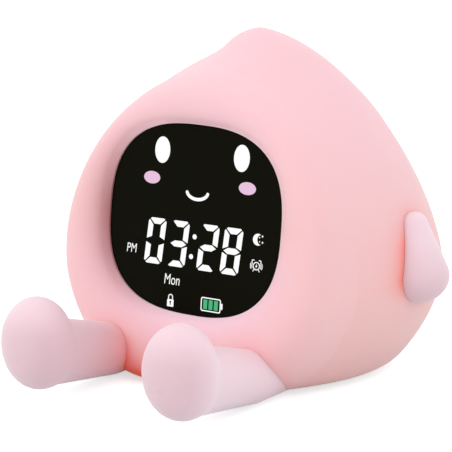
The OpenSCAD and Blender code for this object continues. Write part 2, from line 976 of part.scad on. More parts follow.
module main_board() {
    color(BOARD)
    difference() {
        translate([-board_w, board_y - board_t, board_bottom])
            cube([2 * board_w, board_t, board_top - board_bottom]);
        for (side = [-1, 1], z = standoff_z)
            along_y(side * standoff_x, board_y - board_t - 1, z) cylinder(r = screw_r + 0.2, h = board_t + 2);
    }
}

// Boxes on the inner side of the board: x, z, width, height, thickness
PARTS = [
    [0, 28, 7, 7, 1.1], [-10.5, 34, 5, 4, 1.6], [10.5, 33, 5, 4, 1.2], [9, 27, 3.2, 1.5, 0.9],
    [-9, 26, 4, 4, 2], [0, 36.5, 12, 4, 2.2], [12.2, 21, 6, 5, 3], [-12.2, 21, 6, 5, 3], [8.2, 41.2, 6, 4, 3]
];

module board_parts() {
    color("#2b2b2d")
    for (p = PARTS)
        translate([p[0] - p[2] / 2, board_y - board_t - p[4], p[1] - p[3] / 2]) cube([p[2], p[4], p[3]]);
}

module board_screws() {
    color(STEEL)
    for (side = [-1, 1], z = standoff_z) along_y(side * standoff_x, board_y - board_t, z) screw(board_t + 4);
}

module tact_switches() {
    color("#3a3a3c")
    for (b = BUTTONS) {
        translate([b[1] * button_pitch - switch_w / 2, board_y, b[2] - switch_w / 2])
            cube([switch_w, switch_h, switch_w]);
        along_y(b[1] * button_pitch, board_y + switch_h, b[2]) cylinder(r = plunger_r, h = plunger_h);
    }
}

// ---------------------------------------------------------------- speaker

module speaker_place() {
    translate([0, speaker_y, speaker_z]) rotate([speaker_tilt - 90, 0, 0]) children();
}

module speaker_ears() {
    for (a = [-30, 90, 210]) rotate(a) translate([speaker_ears_r, 0, 0]) children();
}

module sound_holes() {
    pitch = 3.1;
    for (i = [-2:2], j = [-2:2]) {
        x = (i + j / 2) * pitch;
        y = j * pitch * sin(60);
        if (norm([x, y]) < 2.1 * pitch) translate([x, y, 0]) cylinder(r = 0.85, h = 20, $fn = 24);
    }
}

cone_r = speaker_r - 1.6;
coil_r = 4;
magnet_r = 7.5;
magnet_t = 2.6;
basket_t = 1;
basket_h = 6;

module speaker_frame() {
    color("#505358")
    speaker_place() {
        rotate_extrude() polygon([
            [cone_r + 0.2, 0], [speaker_r, 0], [speaker_r, -basket_t], [cone_r + 1, -basket_t - 0.3],
            [magnet_r + 1, -basket_h], [coil_r + 1, -basket_h], [coil_r + 1, 0.8 - basket_h],
            [magnet_r + 0.5, 0.8 - basket_h], [cone_r, -basket_t]
        ]);
        translate([0, 0, -basket_t]) difference() {
            linear_extrude(basket_t) union() {
                circle(r = speaker_r + 0.4);
                speaker_ears() circle(r = standoff_r + 0.4);
                for (a = [-30, 90, 210]) rotate(a) translate([0, -2]) square([speaker_ears_r, 4]);
            }
            translate([0, 0, -1]) cylinder(r = cone_r + 0.2, h = 4);
            speaker_ears() translate([0, 0, -1]) cylinder(r = screw_r + 0.2, h = 4);
        }
    }
}

module speaker_cone() {
    color("#26262a")
    speaker_place() {
        rotate_extrude() polygon([
            [0, -1.6], [3, -2], [coil_r, -3.2], [cone_r - 1.8, -0.7], [cone_r - 1.2, -0.3], [cone_r - 0.3, -0.3],
            [cone_r - 0.3, -0.7], [cone_r - 1.2, -0.8], [cone_r - 1.6, -1.1], [coil_r, -3.8], [2.9, -2.5], [0, -2.1]
        ]);
        translate([0, 0, -basket_h]) tube(coil_r, coil_r - 0.4, basket_h - 3.4);
    }
}

module speaker_magnet() {
    color("#808388") speaker_place() translate([0, 0, -basket_h - magnet_t])
        cylinder(r = magnet_r, h = magnet_t);
}

module speaker_screws() {
    color(STEEL) speaker_place() translate([0, 0, -basket_t]) speaker_ears() screw(basket_t + 3);
}

// ---------------------------------------------------------------- lamp and base

module stand_posts() {
    for (x = [-1, 1], y = [-1, 1]) translate([x * stand_x, lamp_y + y * stand_y, 0]) children();
}

module lamp_stand() {
    color(WHITE)
    difference() {
        union() {
            translate([0, lamp_y, lamp_z - stand_t]) cylinder(r = lamp_r, h = stand_t);
            translate([0, 0, floor_z]) stand_posts() cylinder(r = stand_post_r, h = lamp_z - floor_z);
            for (side = [-1, 1])
                translate([0, lamp_y, lamp_z - stand_t - stand_rib]) rotate(side * atan(stand_y / stand_x))
                    translate([-norm([stand_x, stand_y]), -rib_t / 2, 0])
                        cube([2 * norm([stand_x, stand_y]), rib_t, stand_rib + 0.5]);
        }
        stand_posts() cylinder(r = screw_r + pilot_fit, h = floor_z + 8);
        stand_posts() translate([0, 0, lamp_z - 6]) cylinder(r = screw_r + pilot_fit, h = 10);
    }
}

module lamp_board() {
    color(WHITE)
    difference() {
        translate([0, lamp_y, lamp_z]) cylinder(r = lamp_r + 0.5, h = board_t);
        stand_posts() translate([0, 0, lamp_z - 1]) cylinder(r = screw_r + 0.2, h = board_t + 2);
    }
}

module lamp_leds() {
    color("#fff3c0")
    translate([0, lamp_y, lamp_z + board_t]) {
        for (a = [0:60:300]) rotate(a + 90) translate([9, 0, 0.8]) cube([3.5, 3.5, 1.6], center = true);
        translate([0, 0, 0.8]) cube([3.5, 3.5, 1.6], center = true);
    }
}

module lamp_screws() {
    color(STEEL)
    translate([0, 0, lamp_z + board_t]) stand_posts() rotate([180, 0, 0]) screw(board_t + 4);
}

module touch_plate() {
    color("#c98b4a") translate([0, touch_y, touch_z]) cylinder(r = 9, h = 0.5);
}

saddle_x = 20;
saddle_t = 4;
strap_reach = 5.4;
spigot_fit = 0.3;
spigot_h = shell_wall + 1;
cradle_y = 5;
groove_depth = 0.4;
strap_screw = 3.4;

module base_plate() {
    seat_z = cell_z - cell_r;
    color(MILK)
    difference() {
        union() {
            translate([0, 0, pad_t]) cylinder(r = plate_r, h = plate_t);
            for (side = [-1, 1])
                translate([side * saddle_x - saddle_t / 2, lamp_y - cell_r - strap_reach, floor_z - 0.5])
                    cube([saddle_t, 2 * (cell_r + strap_reach), cell_z - floor_z]);
            translate([0, 0, floor_z - 0.5]) tube(opening_r - spigot_fit, opening_r - spigot_fit - rib_t, spigot_h + 0.5);
            for (y = [-1, 1])
                translate([-saddle_x, lamp_y + y * cradle_y - rib_t / 2, floor_z - 0.5])
                    cube([2 * saddle_x, rib_t, cell_z - floor_z - cradle_y]);
        }
        translate([-cell_l / 2 - 1, lamp_y, cell_z]) rotate([0, 90, 0]) cylinder(r = cell_r + 0.1, h = cell_l + 2);
        for (side = [-1, 1], y = [-1, 1])
            translate([side * saddle_x, lamp_y + y * (cell_r + strap_screw), seat_z])
                cylinder(r = 0.8 + pilot_fit, h = 20);
        for (x = [-1, 1], y = [-1, 1])
            translate([x * base_boss, y * base_boss, 0]) cylinder(r = screw_r + 0.2, h = 10);
        stand_posts() cylinder(r = screw_r + 0.2, h = 10);
        translate([0, 0, pad_t - 1]) {
            for (x = [-1, 1], y = [-1, 1])
                translate([x * base_boss, y * base_boss, 0]) cylinder(r = screw_head_r + 0.2, h = 2);
            stand_posts() cylinder(r = screw_head_r + 0.2, h = 2);
        }
    }
}

module base_pad() {
    color("#d9a9ab")
    difference() {
        cylinder(r = plate_r - 1, h = pad_t);
        for (x = [-1, 1], y = [-1, 1])
            translate([x * base_boss, y * base_boss, -1]) cylinder(r = screw_head_r + 0.6, h = pad_t + 2);
        translate([0, 0, -1]) stand_posts() cylinder(r = screw_head_r + 0.6, h = pad_t + 2);
        for (r = [26.5, 29.5]) translate([0, 0, -1]) tube(r + 1, r, 1 + groove_depth);
    }
}

module base_screws() {
    head_z = pad_t + 1;
    color(STEEL)
    translate([0, 0, head_z]) {
        for (x = [-1, 1], y = [-1, 1]) translate([x * base_boss, y * base_boss, 0]) screw(8);
        stand_posts() screw(7);
    }
}

module battery_cell() {
    color("#5f8fc4")
    translate([-cell_l / 2, lamp_y, cell_z]) rotate([0, 90, 0]) {
        cylinder(r = cell_r, h = cell_l - 1);
        translate([0, 0, cell_l - 1]) cylinder(r = 3, h = 1);
    }
}

module battery_strap() {
    inner = cell_r + 0.1;
    color(WHITE)
    for (side = [-1, 1])
        translate([side * saddle_x, lamp_y, cell_z]) difference() {
            rotate([90, 0, 90]) translate([0, 0, -saddle_t / 2]) linear_extrude(saddle_t) difference() {
                union() {
                    circle(r = inner + strap_t);
                    translate([-cell_r - strap_reach, -0.5]) square([2 * (cell_r + strap_reach), strap_t + 0.5]);
                }
                circle(r = inner);
                translate([-20, -20.5]) square([40, 20]);
            }
            for (y = [-1, 1]) translate([0, y * (cell_r + strap_screw), -2]) cylinder(r = 1, h = 5);
        }
}

module strap_screws() {
    color(STEEL)
    for (side = [-1, 1], y = [-1, 1])
        translate([side * saddle_x, lamp_y + y * (cell_r + strap_screw), cell_z + strap_t]) {
            cylinder(r = 1.5, h = 0.9);
            translate([0, 0, -5]) cylinder(r = 0.8, h = 5);
        }
}

// ---------------------------------------------------------------- inner cables

function spline(p, i, t) =
    let (
        a = p[max(i - 1, 0)],
        b = p[i],
        c = p[i + 1],
        d = p[min(i + 2, len(p) - 1)]
    )
    0.5 * (2 * b + (c - a) * t + (2 * a - 5 * b + 4 * c - d) * t * t + (3 * b - a - 3 * c + d) * t * t * t);

function smooth(p, steps) =
    concat([for (i = [0:len(p) - 2], k = [0:steps - 1]) spline(p, i, k / steps)], [p[len(p) - 1]]);

function unit(v) = v / norm(v);

module lead(route, r) {
    path = smooth(route, 4);
    count = len(path);
    sides = 8;
    rings = [
        for (i = [0:count - 1])
            let (
                way = unit(path[min(i + 1, count - 1)] - path[max(i - 1, 0)]),
                across = unit(cross(way, [0.2, 0.1, 1])),
                over = cross(across, way)
            )
            [for (j = [0:sides - 1]) path[i] + r * (across * cos(-45 * j) + over * sin(-45 * j))]
    ];
    lofted(rings, path[0], path[count - 1]);
}

module pair_of_leads(route, beside) {
    lead(route, lead_r);
    lead([for (p = route) p + (2 * lead_r + 0.1) * beside], lead_r);
}

ribbon_t = 0.4;

module display_ribbon() {
    start = from_face([0, socket_y, -display_board_back - socket_h - 0.2]);
    end = [0, board_y - board_t - 2.3, 36.5];
    route = [
        [start[1], start[2]], [start[1] + 3, start[2] - 1], [start[1] + 5, 29],
        [-8, 28], [26, 28], [36, 30], [end[1] - 3, end[2]], [end[1], end[2]]
    ];
    low = [for (i = [0:len(route) - 1]) route[i]];
    high = [for (i = [len(route) - 1:-1:0]) route[i] + [0, ribbon_t]];
    color("#c8c2b4")
    translate([-ribbon_half, 0, 0]) rotate([90, 0, 90]) linear_extrude(2 * ribbon_half)
        polygon(concat(low, high));
}

// The leads end at the connectors on the main board
lead_end = board_y - board_t - 3.5;
BATTERY_ROUTE = [
    [33.2, lamp_y, 14.5], [38, 6, 15], [41, 14, 16], [38, 26, 17], [24, 34, 19],
    [12.4, lead_end - 3, 20.2], [12.2, lead_end, 20.2]
];
SPEAKER_ROUTE = [
    [9.8, speaker_y - 5.6, 57], [13, speaker_y - 8, 54], [13, 33, 48], [9, lead_end - 5, 42],
    [8.2, lead_end - 3, 40.6], [8.2, lead_end, 40.4]
];
LAMP_ROUTE = [
    [-8, 22.8, 41.5], [-10, 27, 40], [-12, 32, 34], [-12, lead_end - 6, 24], [-12.2, lead_end - 3, 20.4],
    [-12.2, lead_end, 20.2]
];

module battery_lead() {
    color("#b23a2e") pair_of_leads(BATTERY_ROUTE, [0, 0, 1]);
}

module speaker_lead() {
    color("#b23a2e") pair_of_leads(SPEAKER_ROUTE, [1, 0, 0]);
}

module lamp_lead() {
    color("#b23a2e") pair_of_leads(LAMP_ROUTE, [1.2, 0.2, 0.2]);
}

body_skin();
left_arm();
right_arm();
left_leg();
right_leg();
limb_clips();
display_lens();
lens_gasket();
display_reflector();
display_board();
display_leds();
display_screws();
front_housing();
rear_housing();
control_panel();
panel_screws();
alarm_button();
light_button();
sound_button();
down_button();
set_button();
up_button();
main_board();
board_parts();
tact_switches();
usb_socket();
board_screws();
speaker_frame();
speaker_cone();
speaker_magnet();
speaker_screws();
lamp_stand();
lamp_board();
lamp_leds();
lamp_screws();
touch_plate();
base_plate();
base_pad();
base_screws();
battery_cell();
battery_strap();
strap_screws();
display_ribbon();
battery_lead();
speaker_lead();
lamp_lead();
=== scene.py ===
"""Looks of a kids alarm clock with night light, built round its CAD frame.

Sizes are in millimetres, apart from those of the materials and the lamps, which are in metres.
"""

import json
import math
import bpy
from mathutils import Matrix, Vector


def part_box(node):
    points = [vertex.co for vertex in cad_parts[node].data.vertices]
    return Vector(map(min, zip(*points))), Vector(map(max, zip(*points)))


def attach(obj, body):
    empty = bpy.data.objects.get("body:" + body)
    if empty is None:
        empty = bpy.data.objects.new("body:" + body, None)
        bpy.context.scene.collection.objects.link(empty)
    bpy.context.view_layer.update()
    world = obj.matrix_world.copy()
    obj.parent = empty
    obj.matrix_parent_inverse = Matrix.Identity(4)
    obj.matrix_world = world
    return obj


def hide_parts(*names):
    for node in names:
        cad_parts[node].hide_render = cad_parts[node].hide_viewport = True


bl_info = {
    "name": "Kids alarm clock with night light",
    "version": (1, 0, 0),
    "blender": (4, 5, 0),
    "location": "3D View > Sidebar > Alarm clock",
    "description": "Soft skin, stubby limbs, lit display, rear controls and finishes of a kids alarm clock",
    "category": "Object",
}

import bmesh
import bpy
import numpy as np
from mathutils import Euler, Vector

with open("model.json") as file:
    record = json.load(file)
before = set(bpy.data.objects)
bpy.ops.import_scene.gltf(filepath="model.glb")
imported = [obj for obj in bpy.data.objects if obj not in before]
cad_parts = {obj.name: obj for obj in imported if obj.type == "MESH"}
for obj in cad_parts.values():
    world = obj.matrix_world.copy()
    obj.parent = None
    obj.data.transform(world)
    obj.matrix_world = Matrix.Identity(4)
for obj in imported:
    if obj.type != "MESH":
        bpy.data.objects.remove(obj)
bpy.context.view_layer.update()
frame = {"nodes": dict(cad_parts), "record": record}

MM = 0.001
ROOT = "clock"

# Drop: its widest height, its curves above and below, and the rest of it
WIDEST_Z = 33.8
BELLY_DEPTH = 51.5
CROWN_POWER = 1.53
BELLY_POWER = 1.7
CROWN_INSET = 1.6
SKIN_WALL = 2.4
SKIN_LIFT = 0.8
SOLE_BLEND = 5
CORE_BOTTOM = 3.1
PLATE_OPENING = 40.25
PLATE_TOP = 5.3
HEEL_H = 6.2
HEEL_IN = 5
# Crown: the dent on its left, and the lean of its tip to the front
DENT_Z = 105.5
DENT_DEPTH = 1.8
DENT_SPREAD = 5
DENT_WAY = (-0.87, -0.5)
DENT_POWER = 1.5
TIP_FROM = 98
TIP_LEAN = 1.8
# Display: the middle of its plane, its tilt, and the half sizes of its window
FACE_Y = 38.5
FACE_Z = 54.8
FACE_TILT = math.radians(7.1)
WINDOW_W = 34.3
WINDOW_H = 31.1
WINDOW_POWER = 2.68
WINDOW_LAP = 0.25
# Muzzle and its lip
MUZZLE_W = 51.5
MUZZLE_H = 53
MUZZLE_DROP = 7.8
MUZZLE_ROUND = 10.8
MUZZLE_BLEND = 15
MUZZLE_TAPER = 0.11
MUZZLE_POWER = 1.9
MUZZLE_BACK = 45
FRONT_BLEND = 12
LIP_EDGE = 0.8
LIP_STEEP = 0.55
LIP_RATE = 6.1
SLOPE_END = 1.9
SNOUT_GROW = 3.8
SNOUT_DEPTH = 15
# Control panel: its half sizes, its place and its openings
PANEL_W = 24
PANEL_H = 33
PANEL_Z = 41
PANEL_FIT = 0.25
PANEL_RECESS = 0.4
BUTTON_PROUD = 0.9
# Skin's mesh: points around and rings, also of the form that the limbs sit on, the depth behind the
# display from which its rays start, their reach, and how its points crowd to the sides and the lip
SKIN_POINTS = (288, 190)
SEAT_POINTS = (240, 150)
EYE_DEPTH = 45
EYE_REACH = (5, 125)
CROWDING = 0.45
RING_SPREAD = 1.25
# Cutters, which reach well past what they cut
CUT_SIZE = 180
CUT_DEPTH = 60
OPENING_ENDS = (25, 90)
OPENING_DEPTH = 4


# ---------- settings


def number(name, description, default, **more):
    return bpy.props.FloatProperty(name=name, description=description, default=default, **more)


def length(name, description, mm):
    return number(name, description, mm * MM, unit="LENGTH")


def angle(name, description, degrees):
    return number(name, description, math.radians(degrees), unit="ROTATION")


def color_of(name, description, *default):
    return bpy.props.FloatVectorProperty(
        name=name, description=description, size=3, subtype="COLOR", default=default
    )


class ClockShape(bpy.types.PropertyGroup):
    body_radius: length("Body radius", "Radius of the drop where it is widest", 62)
    body_height: length("Body height", "Height of the drop's tip", 114)
    lip_depth: length("Lip depth", "How far the lip stands in front of the display", 5.5)
    lip_slope: length("Lip slope", "Width of the slope from the display to the lip", 11)
    lip_blend: length("Lip softness", "Rounding of the lip's crest", 3.5)
    edge_round: length("Edge rounding", "Rounding of the skin round the control panel", 1.4)
    foot_width: length("Foot half width", "Half the width of a foot", 12.2)
    foot_height: length("Foot half height", "Half the height of a foot", 15.1)
    hand_radius: length("Hand radius", "Radius of the arm's round end", 8.2)


class ClockLooks(bpy.types.PropertyGroup):
    skin_color: color_of("Skin", "Colour of the silicone skin", 0.84, 0.5, 0.49)
    # Painted light: the crown's colour is lighter and cooler than the skin's, standing in for the light that
    # falls on the top
    crown_light_color: color_of("Crown", "Colour of the skin at the top", 0.86, 0.54, 0.585)
    # Painted shade: the deep red laid in the creases stands in for their shade and the light bounced between
    # the silicone parts
    crease_shade_color: color_of("Creases", "Colour in the creases", 0.95, 0.11, 0.055)
    # Painted shade: the dark red beside the window stands in for the shade in the recess round it
    hollow_shade_color: color_of("Hollow", "Colour beside the window", 0.38, 0.12, 0.12)
    # Painted light: the lighter rose under the window stands in for the light on the lower lip and chin
    chin_light_color: color_of("Bloom", "Colour under the window", 0.93, 0.62, 0.72)
    # Painted shade: the darker colour of the soles and hands stands in for the shade on them
    sole_shade_color: color_of("Soles", "Colour of the soles and hands", 0.62, 0.395, 0.44)
    limb_color: color_of("Limbs", "Colour of the silicone limbs", 0.82, 0.625, 0.69)
    panel_color: color_of("Panel", "Colour of the control panel", 0.9, 0.62, 0.62)
    window_color: color_of("Window", "Colour of the display window", 0.0045, 0.0042, 0.0018)
    sign_color: color_of("Signs", "Colour of the lit signs", 1.0, 1.0, 1.0)
    cheek_color: color_of("Cheeks", "Colour of the lit cheeks", 0.8, 0.54, 0.73)
    charge_color: color_of("Charge", "Colour of the battery sign's bars", 0.08, 0.46, 0.21)
    skin_bleed: number("Skin bleed", "How much light travels inside the silicone", 0.35, min=0, max=1)


class ClockDisplay(bpy.types.PropertyGroup):
    shown_time: bpy.props.StringProperty(name="Time", description="Four digits", default="0328")
    day_half: bpy.props.StringProperty(name="Half of the day", description="AM or PM", default="PM")
    weekday: bpy.props.StringProperty(name="Weekday", description="Three letters", default="Mon")
    digit_height: length("Digit height", "Height of a digit", 15.2)
    digit_width: length("Digit width", "Width of a digit", 7.2)
    segment_width: length("Segment width", "Width of a lit segment", 2.0)
    segment_gap: length("Segment gap", "Gap between segments", 0.42)
    digit_lean: angle("Digit lean", "Slant of the digits", 5.2)


class ClockStage(bpy.types.PropertyGroup):
    azimuth: angle("Azimuth", "Camera's turn round the clock", 35.2)
    elevation: angle("Elevation", "Camera's height angle", 12.6)
    distance: length("Distance", "Camera's distance from the display", 650)
    scale: number("Scale", "Pixels per millimetre at the display's distance", 3.08)
    sky: number("Sky", "Strength of the surroundings", 1.08)
    key: number("Key", "Power of the main lamp in watts", 1.6)


def shape():
    return bpy.context.scene.clock_shape


def looks():
    return bpy.context.scene.clock_looks


def display():
    return bpy.context.scene.clock_display


# ---------- form of the body


def together(*parts):
    """Points from their coordinates, arrays or single values."""
    return np.stack(np.broadcast_arrays(*parts), -1)


def full_turn(steps):
    return np.linspace(0, 2 * math.pi, steps, endpoint=False)


def blend_min(a, b, k):
    h = np.maximum(k - np.abs(a - b), 0) / k
    return np.minimum(a, b) - h * h * k / 4


def blend_max(a, b, k):
    return -blend_min(-a, -b, k)


def ahead(y, z):
    """Distance in front of the display's plane."""
    return -math.cos(FACE_TILT) * (y + FACE_Y) + math.sin(FACE_TILT) * (z - FACE_Z)


def up_face(y, z):
    """Height up the display's plane, from its centre."""
    return math.sin(FACE_TILT) * (y + FACE_Y) + math.cos(FACE_TILT) * (z - FACE_Z)


def from_face(x, y, z):
    """A point of the display's own frame, in the body's frame."""
    c, s = math.cos(FACE_TILT), math.sin(FACE_TILT)
    return together(x, -FACE_Y + s * y - c * z, FACE_Z + c * y + s * z)


def ring_of(a, b, power):
    return (np.abs(a) ** power + np.abs(b) ** power) ** (1 / power)


def squircle_radius(a, b, t):
    return 1 / ring_of(np.cos(t) / a, np.sin(t) / b, WINDOW_POWER)


def crown_top(inset):
    return shape().body_height / MM - CROWN_INSET * inset


def drop_radius(z, inset):
    """Radius of the plain drop at a height, or of the one that lies inset inside it."""
    z = np.asarray(z, float)
    radius = shape().body_radius / MM - inset
    up = np.clip((z - WIDEST_Z) / (crown_top(inset) - WIDEST_Z), 0, 1)
    down = np.clip((WIDEST_Z - z) / BELLY_DEPTH, 0, 1)
    high = (1 - up**CROWN_POWER) ** (1 / CROWN_POWER)
    return radius * np.where(z > WIDEST_Z, high, np.sqrt(1 - down**BELLY_POWER))


def drop_field(x, y, z):
    """The drop, whose tip leans forward, with a small dent on its left."""
    radius, height = shape().body_radius / MM, shape().body_height / MM
    y = y + TIP_LEAN * np.clip((z - TIP_FROM) / (height - TIP_FROM), 0, 1) ** 2
    r = np.hypot(x, y) / radius
    up = ring_of(r, np.maximum(z - WIDEST_Z, 0) / (height - WIDEST_Z), CROWN_POWER)
    facing = (DENT_WAY[0] * x + DENT_WAY[1] * y) / np.maximum(np.hypot(x, y), 1e-3)
    dent = np.clip(facing, 0, 1) ** DENT_POWER * np.exp(-(((z - DENT_Z) / DENT_SPREAD) ** 2))
    down = np.sqrt(r * r + (np.maximum(WIDEST_Z - z, 0) / BELLY_DEPTH) ** BELLY_POWER)
    return (np.where(z > WIDEST_Z, up + DENT_DEPTH / radius * dent, down) - 1) * radius


def muzzle_field(x, y, z):
    """The round muzzle that carries the lip."""
    front = ahead(y, z)
    ring = ring_of(x / MUZZLE_W, (up_face(y, z) + MUZZLE_DROP) / MUZZLE_H, MUZZLE_POWER)
    side = (ring - 1) * MUZZLE_W + MUZZLE_TAPER * np.maximum(-front, 0) + MUZZLE_ROUND
    nose = front - shape().lip_depth / MM + MUZZLE_ROUND
    corner = np.hypot(np.maximum(side, 0), np.maximum(nose, 0)) - MUZZLE_ROUND
    return np.maximum(corner + np.minimum(np.maximum(side, nose), 0), -front - MUZZLE_BACK)


def slope_field(x, y, z):
    """The slope from the window's edge up to the lip's crest."""
    ring = ring_of(x / (WINDOW_W + WINDOW_LAP), up_face(y, z) / (WINDOW_H + WINDOW_LAP), WINDOW_POWER)
    out = np.clip((ring - 1) * WINDOW_W / (shape().lip_slope / MM), 0, SLOPE_END)
    rise = (1 - LIP_STEEP) * out + LIP_STEEP * (1 - np.exp(-LIP_RATE * out))
    return ahead(y, z) - LIP_EDGE - (shape().lip_depth / MM - LIP_EDGE) * rise


def body_field(x, y, z):
    """Distance from the skin's outside, about in millimetres, and below 0 inside it."""
    drop = blend_max(drop_field(x, y, z), ahead(y, z) - shape().lip_depth / MM, FRONT_BLEND)
    whole = blend_min(drop, muzzle_field(x, y, z), MUZZLE_BLEND)
    soled = blend_max(whole, SKIN_LIFT - z, SOLE_BLEND)
    return blend_max(soled, slope_field(x, y, z), shape().lip_blend / MM)


def solve(origin, way, near, far, field, grow=0):
    """Where rays from inside leave a form, or the one that lies grow outside it."""
    near = np.full(way.shape[:-1], float(near))
    far = np.full(way.shape[:-1], float(far))
    for _ in range(24):
        middle = (near + far) / 2
        p = origin + middle[..., None] * way
        inside = field(p[..., 0], p[..., 1], p[..., 2]) < grow
        near = np.where(inside, middle, near)
        far = np.where(inside, far, middle)
    return origin + ((near + far) / 2)[..., None] * way


# ---------- meshes


def new_object(name, data):
    obj = bpy.data.objects.new(name, data)
    bpy.context.scene.collection.objects.link(obj)
    return obj


def add_mesh(name, points, faces):
    """A mesh object at the origin, from points in millimetres."""
    mesh = bpy.data.meshes.new(name)
    mesh.from_pydata((np.asarray(points, float) * MM).tolist(), [], faces)
    mesh.validate()
    return new_object(name, mesh)


def outwards(obj):
    """Turns a closed mesh's faces outwards."""
    bm = bmesh.new()
    bm.from_mesh(obj.data)
    bmesh.ops.recalc_face_normals(bm, faces=bm.faces)
    bm.to_mesh(obj.data)
    bm.free()
    return obj


def loft(name, rings, first, last):
    """A closed solid through rings of points, between a pole at each end."""
    rings = np.asarray(rings, float)
    count, size = rings.shape[:2]
    points = np.concatenate([[first], rings.reshape(-1, 3), [last]])
    loop = [(i, (i + 1) % size) for i in range(size)]
    faces = [(0, 1 + i, 1 + n) for i, n in loop]
    for k in range(count - 1):
        low = 1 + k * size
        high = low + size
        faces += [(low + i, high + i, high + n, low + n) for i, n in loop]
    foot = 1 + (count - 1) * size
    faces += [(len(points) - 1, foot + n, foot + i) for i, n in loop]
    return outwards(add_mesh(name, points, faces))


def places(mesh):
    """The mesh's points as x, y and z, in millimetres."""
    co = np.empty(len(mesh.vertices) * 3)
    mesh.vertices.foreach_get("co", co)
    return co.reshape(-1, 3).T / MM


def evaluated_mesh(obj):
    """A new plain mesh of what an object's modifiers or curve make."""
    bpy.context.view_layer.update()
    graph = bpy.context.evaluated_depsgraph_get()
    return bpy.data.meshes.new_from_object(obj.evaluated_get(graph), depsgraph=graph)


def baked(obj):
    """Turns an object with modifiers into a plain mesh object."""
    mesh = evaluated_mesh(obj)
    obj.modifiers.clear()
    old = obj.data
    obj.data = mesh
    mesh.name = obj.name
    bpy.data.meshes.remove(old)
    return obj


def drop_object(obj):
    mesh = obj.data
    bpy.data.objects.remove(obj)
    bpy.data.meshes.remove(mesh)


def carve(obj, *cutters, keep=()):
    """Cuts closed solids out of a closed solid."""
    for cutter in cutters:
        cut = obj.modifiers.new("cut", "BOOLEAN")
        cut.operation = "DIFFERENCE"
        cut.solver = "MANIFOLD"
        cut.object = cutter
    baked(obj)
    for cutter in cutters:
        if cutter not in keep:
            drop_object(cutter)
    return obj


def smooth_edges(obj, degrees):
    obj.data.shade_smooth()
    obj.data.set_sharp_from_angle(angle=math.radians(degrees))


def prism(name, outline, low, high, place):
    """A closed prism over an outline round 0, 0. place turns the outline's frame into the body's."""
    x, y = np.asarray(outline, float).T
    rings = [place(x, y, h) for h in (low, high)]
    return loft(name, rings, place(0, 0, low), place(0, 0, high))


def turned(name, profile, low, high, steps):
    """A closed solid of revolution through pairs of a radius and a height, between its two poles."""
    t = full_turn(steps)
    rings = [together(r * np.cos(t), r * np.sin(t), z) for r, z in profile]
    return loft(name, rings, [0, 0, low], [0, 0, high])


def squircle(a, b):
    t = full_turn(160)
    r = squircle_radius(a, b, t)
    return together(r * np.cos(t), r * np.sin(t))


def arc(x, y, r, start, end, steps=24, ry=None):
    """Points of an arc round x, y between two angles in degrees. ry is an ellipse's upright radius."""
    t = np.radians(np.linspace(start, end, steps))
    return together(x + r * np.cos(t), y + (ry or r) * np.sin(t))


def circle(r, steps, x=0.0, y=0.0, ry=None):
    return arc(x, y, r, 0, 360, steps + 1, ry)[:-1]


def box_loop(x, y, w, h, r=0.0):
    """A rectangle with rounded corners, centred."""
    corners = [(-1, -1, 180), (1, -1, 270), (1, 1, 0), (-1, 1, 90)]
    if r == 0:
        return np.array([(x + a * w / 2, y + b * h / 2) for a, b, _ in corners])
    w, h = w / 2 - r, h / 2 - r
    return np.concatenate([arc(x + a * w, y + b * h, r, turn, turn + 90, 7) for a, b, turn in corners])


def stroke(points, width):
    """Outline of a round-ended line through points."""
    p = np.asarray(points, float)
    way = np.gradient(p, axis=0)
    way /= np.linalg.norm(way, axis=1)[:, None]
    side = together(-way[:, 1], way[:, 0]) * width / 2
    t = np.linspace(0, math.pi, 10)[1:-1]
    end = p[-1] + np.outer(np.cos(t), side[-1]) + np.outer(np.sin(t), way[-1]) * width / 2
    start = p[0] - np.outer(np.cos(t), side[0]) - np.outer(np.sin(t), way[0]) * width / 2
    return np.concatenate([p + side, end, (p - side)[::-1], start])


def core_solid():
    """The housing's outside, as a closed solid cut off at the display's plane."""
    top = crown_top(SKIN_WALL)
    z = CORE_BOTTOM + (top - CORE_BOTTOM) * np.sin(np.linspace(0, math.pi / 2, 70)[:-1])
    r = drop_radius(z, SKIN_WALL) - HEEL_IN * (1 - np.clip((z - CORE_BOTTOM) / HEEL_H, 0, 1))
    front = prism("front", box_loop(0, 0, CUT_SIZE, CUT_SIZE), 0, CUT_DEPTH, from_face)
    return carve(turned("core", zip(r, z), CORE_BOTTOM, top, 192), front)


# ---------- finishes


def fill(tree, node, inputs):
    """Sets a node's inputs, by name or number, to values or to the outputs of other nodes."""
    for key, value in inputs.items():
        if isinstance(value, bpy.types.NodeSocket):
            tree.links.new(value, node.inputs[key])
        else:
            node.inputs[key].default_value = value


def add_node(tree, kind, inputs, **settings):
    node = tree.nodes.new(kind)
    for key, value in settings.items():
        setattr(node, key, value)
    fill(tree, node, inputs)
    return node


FINISHES = {}


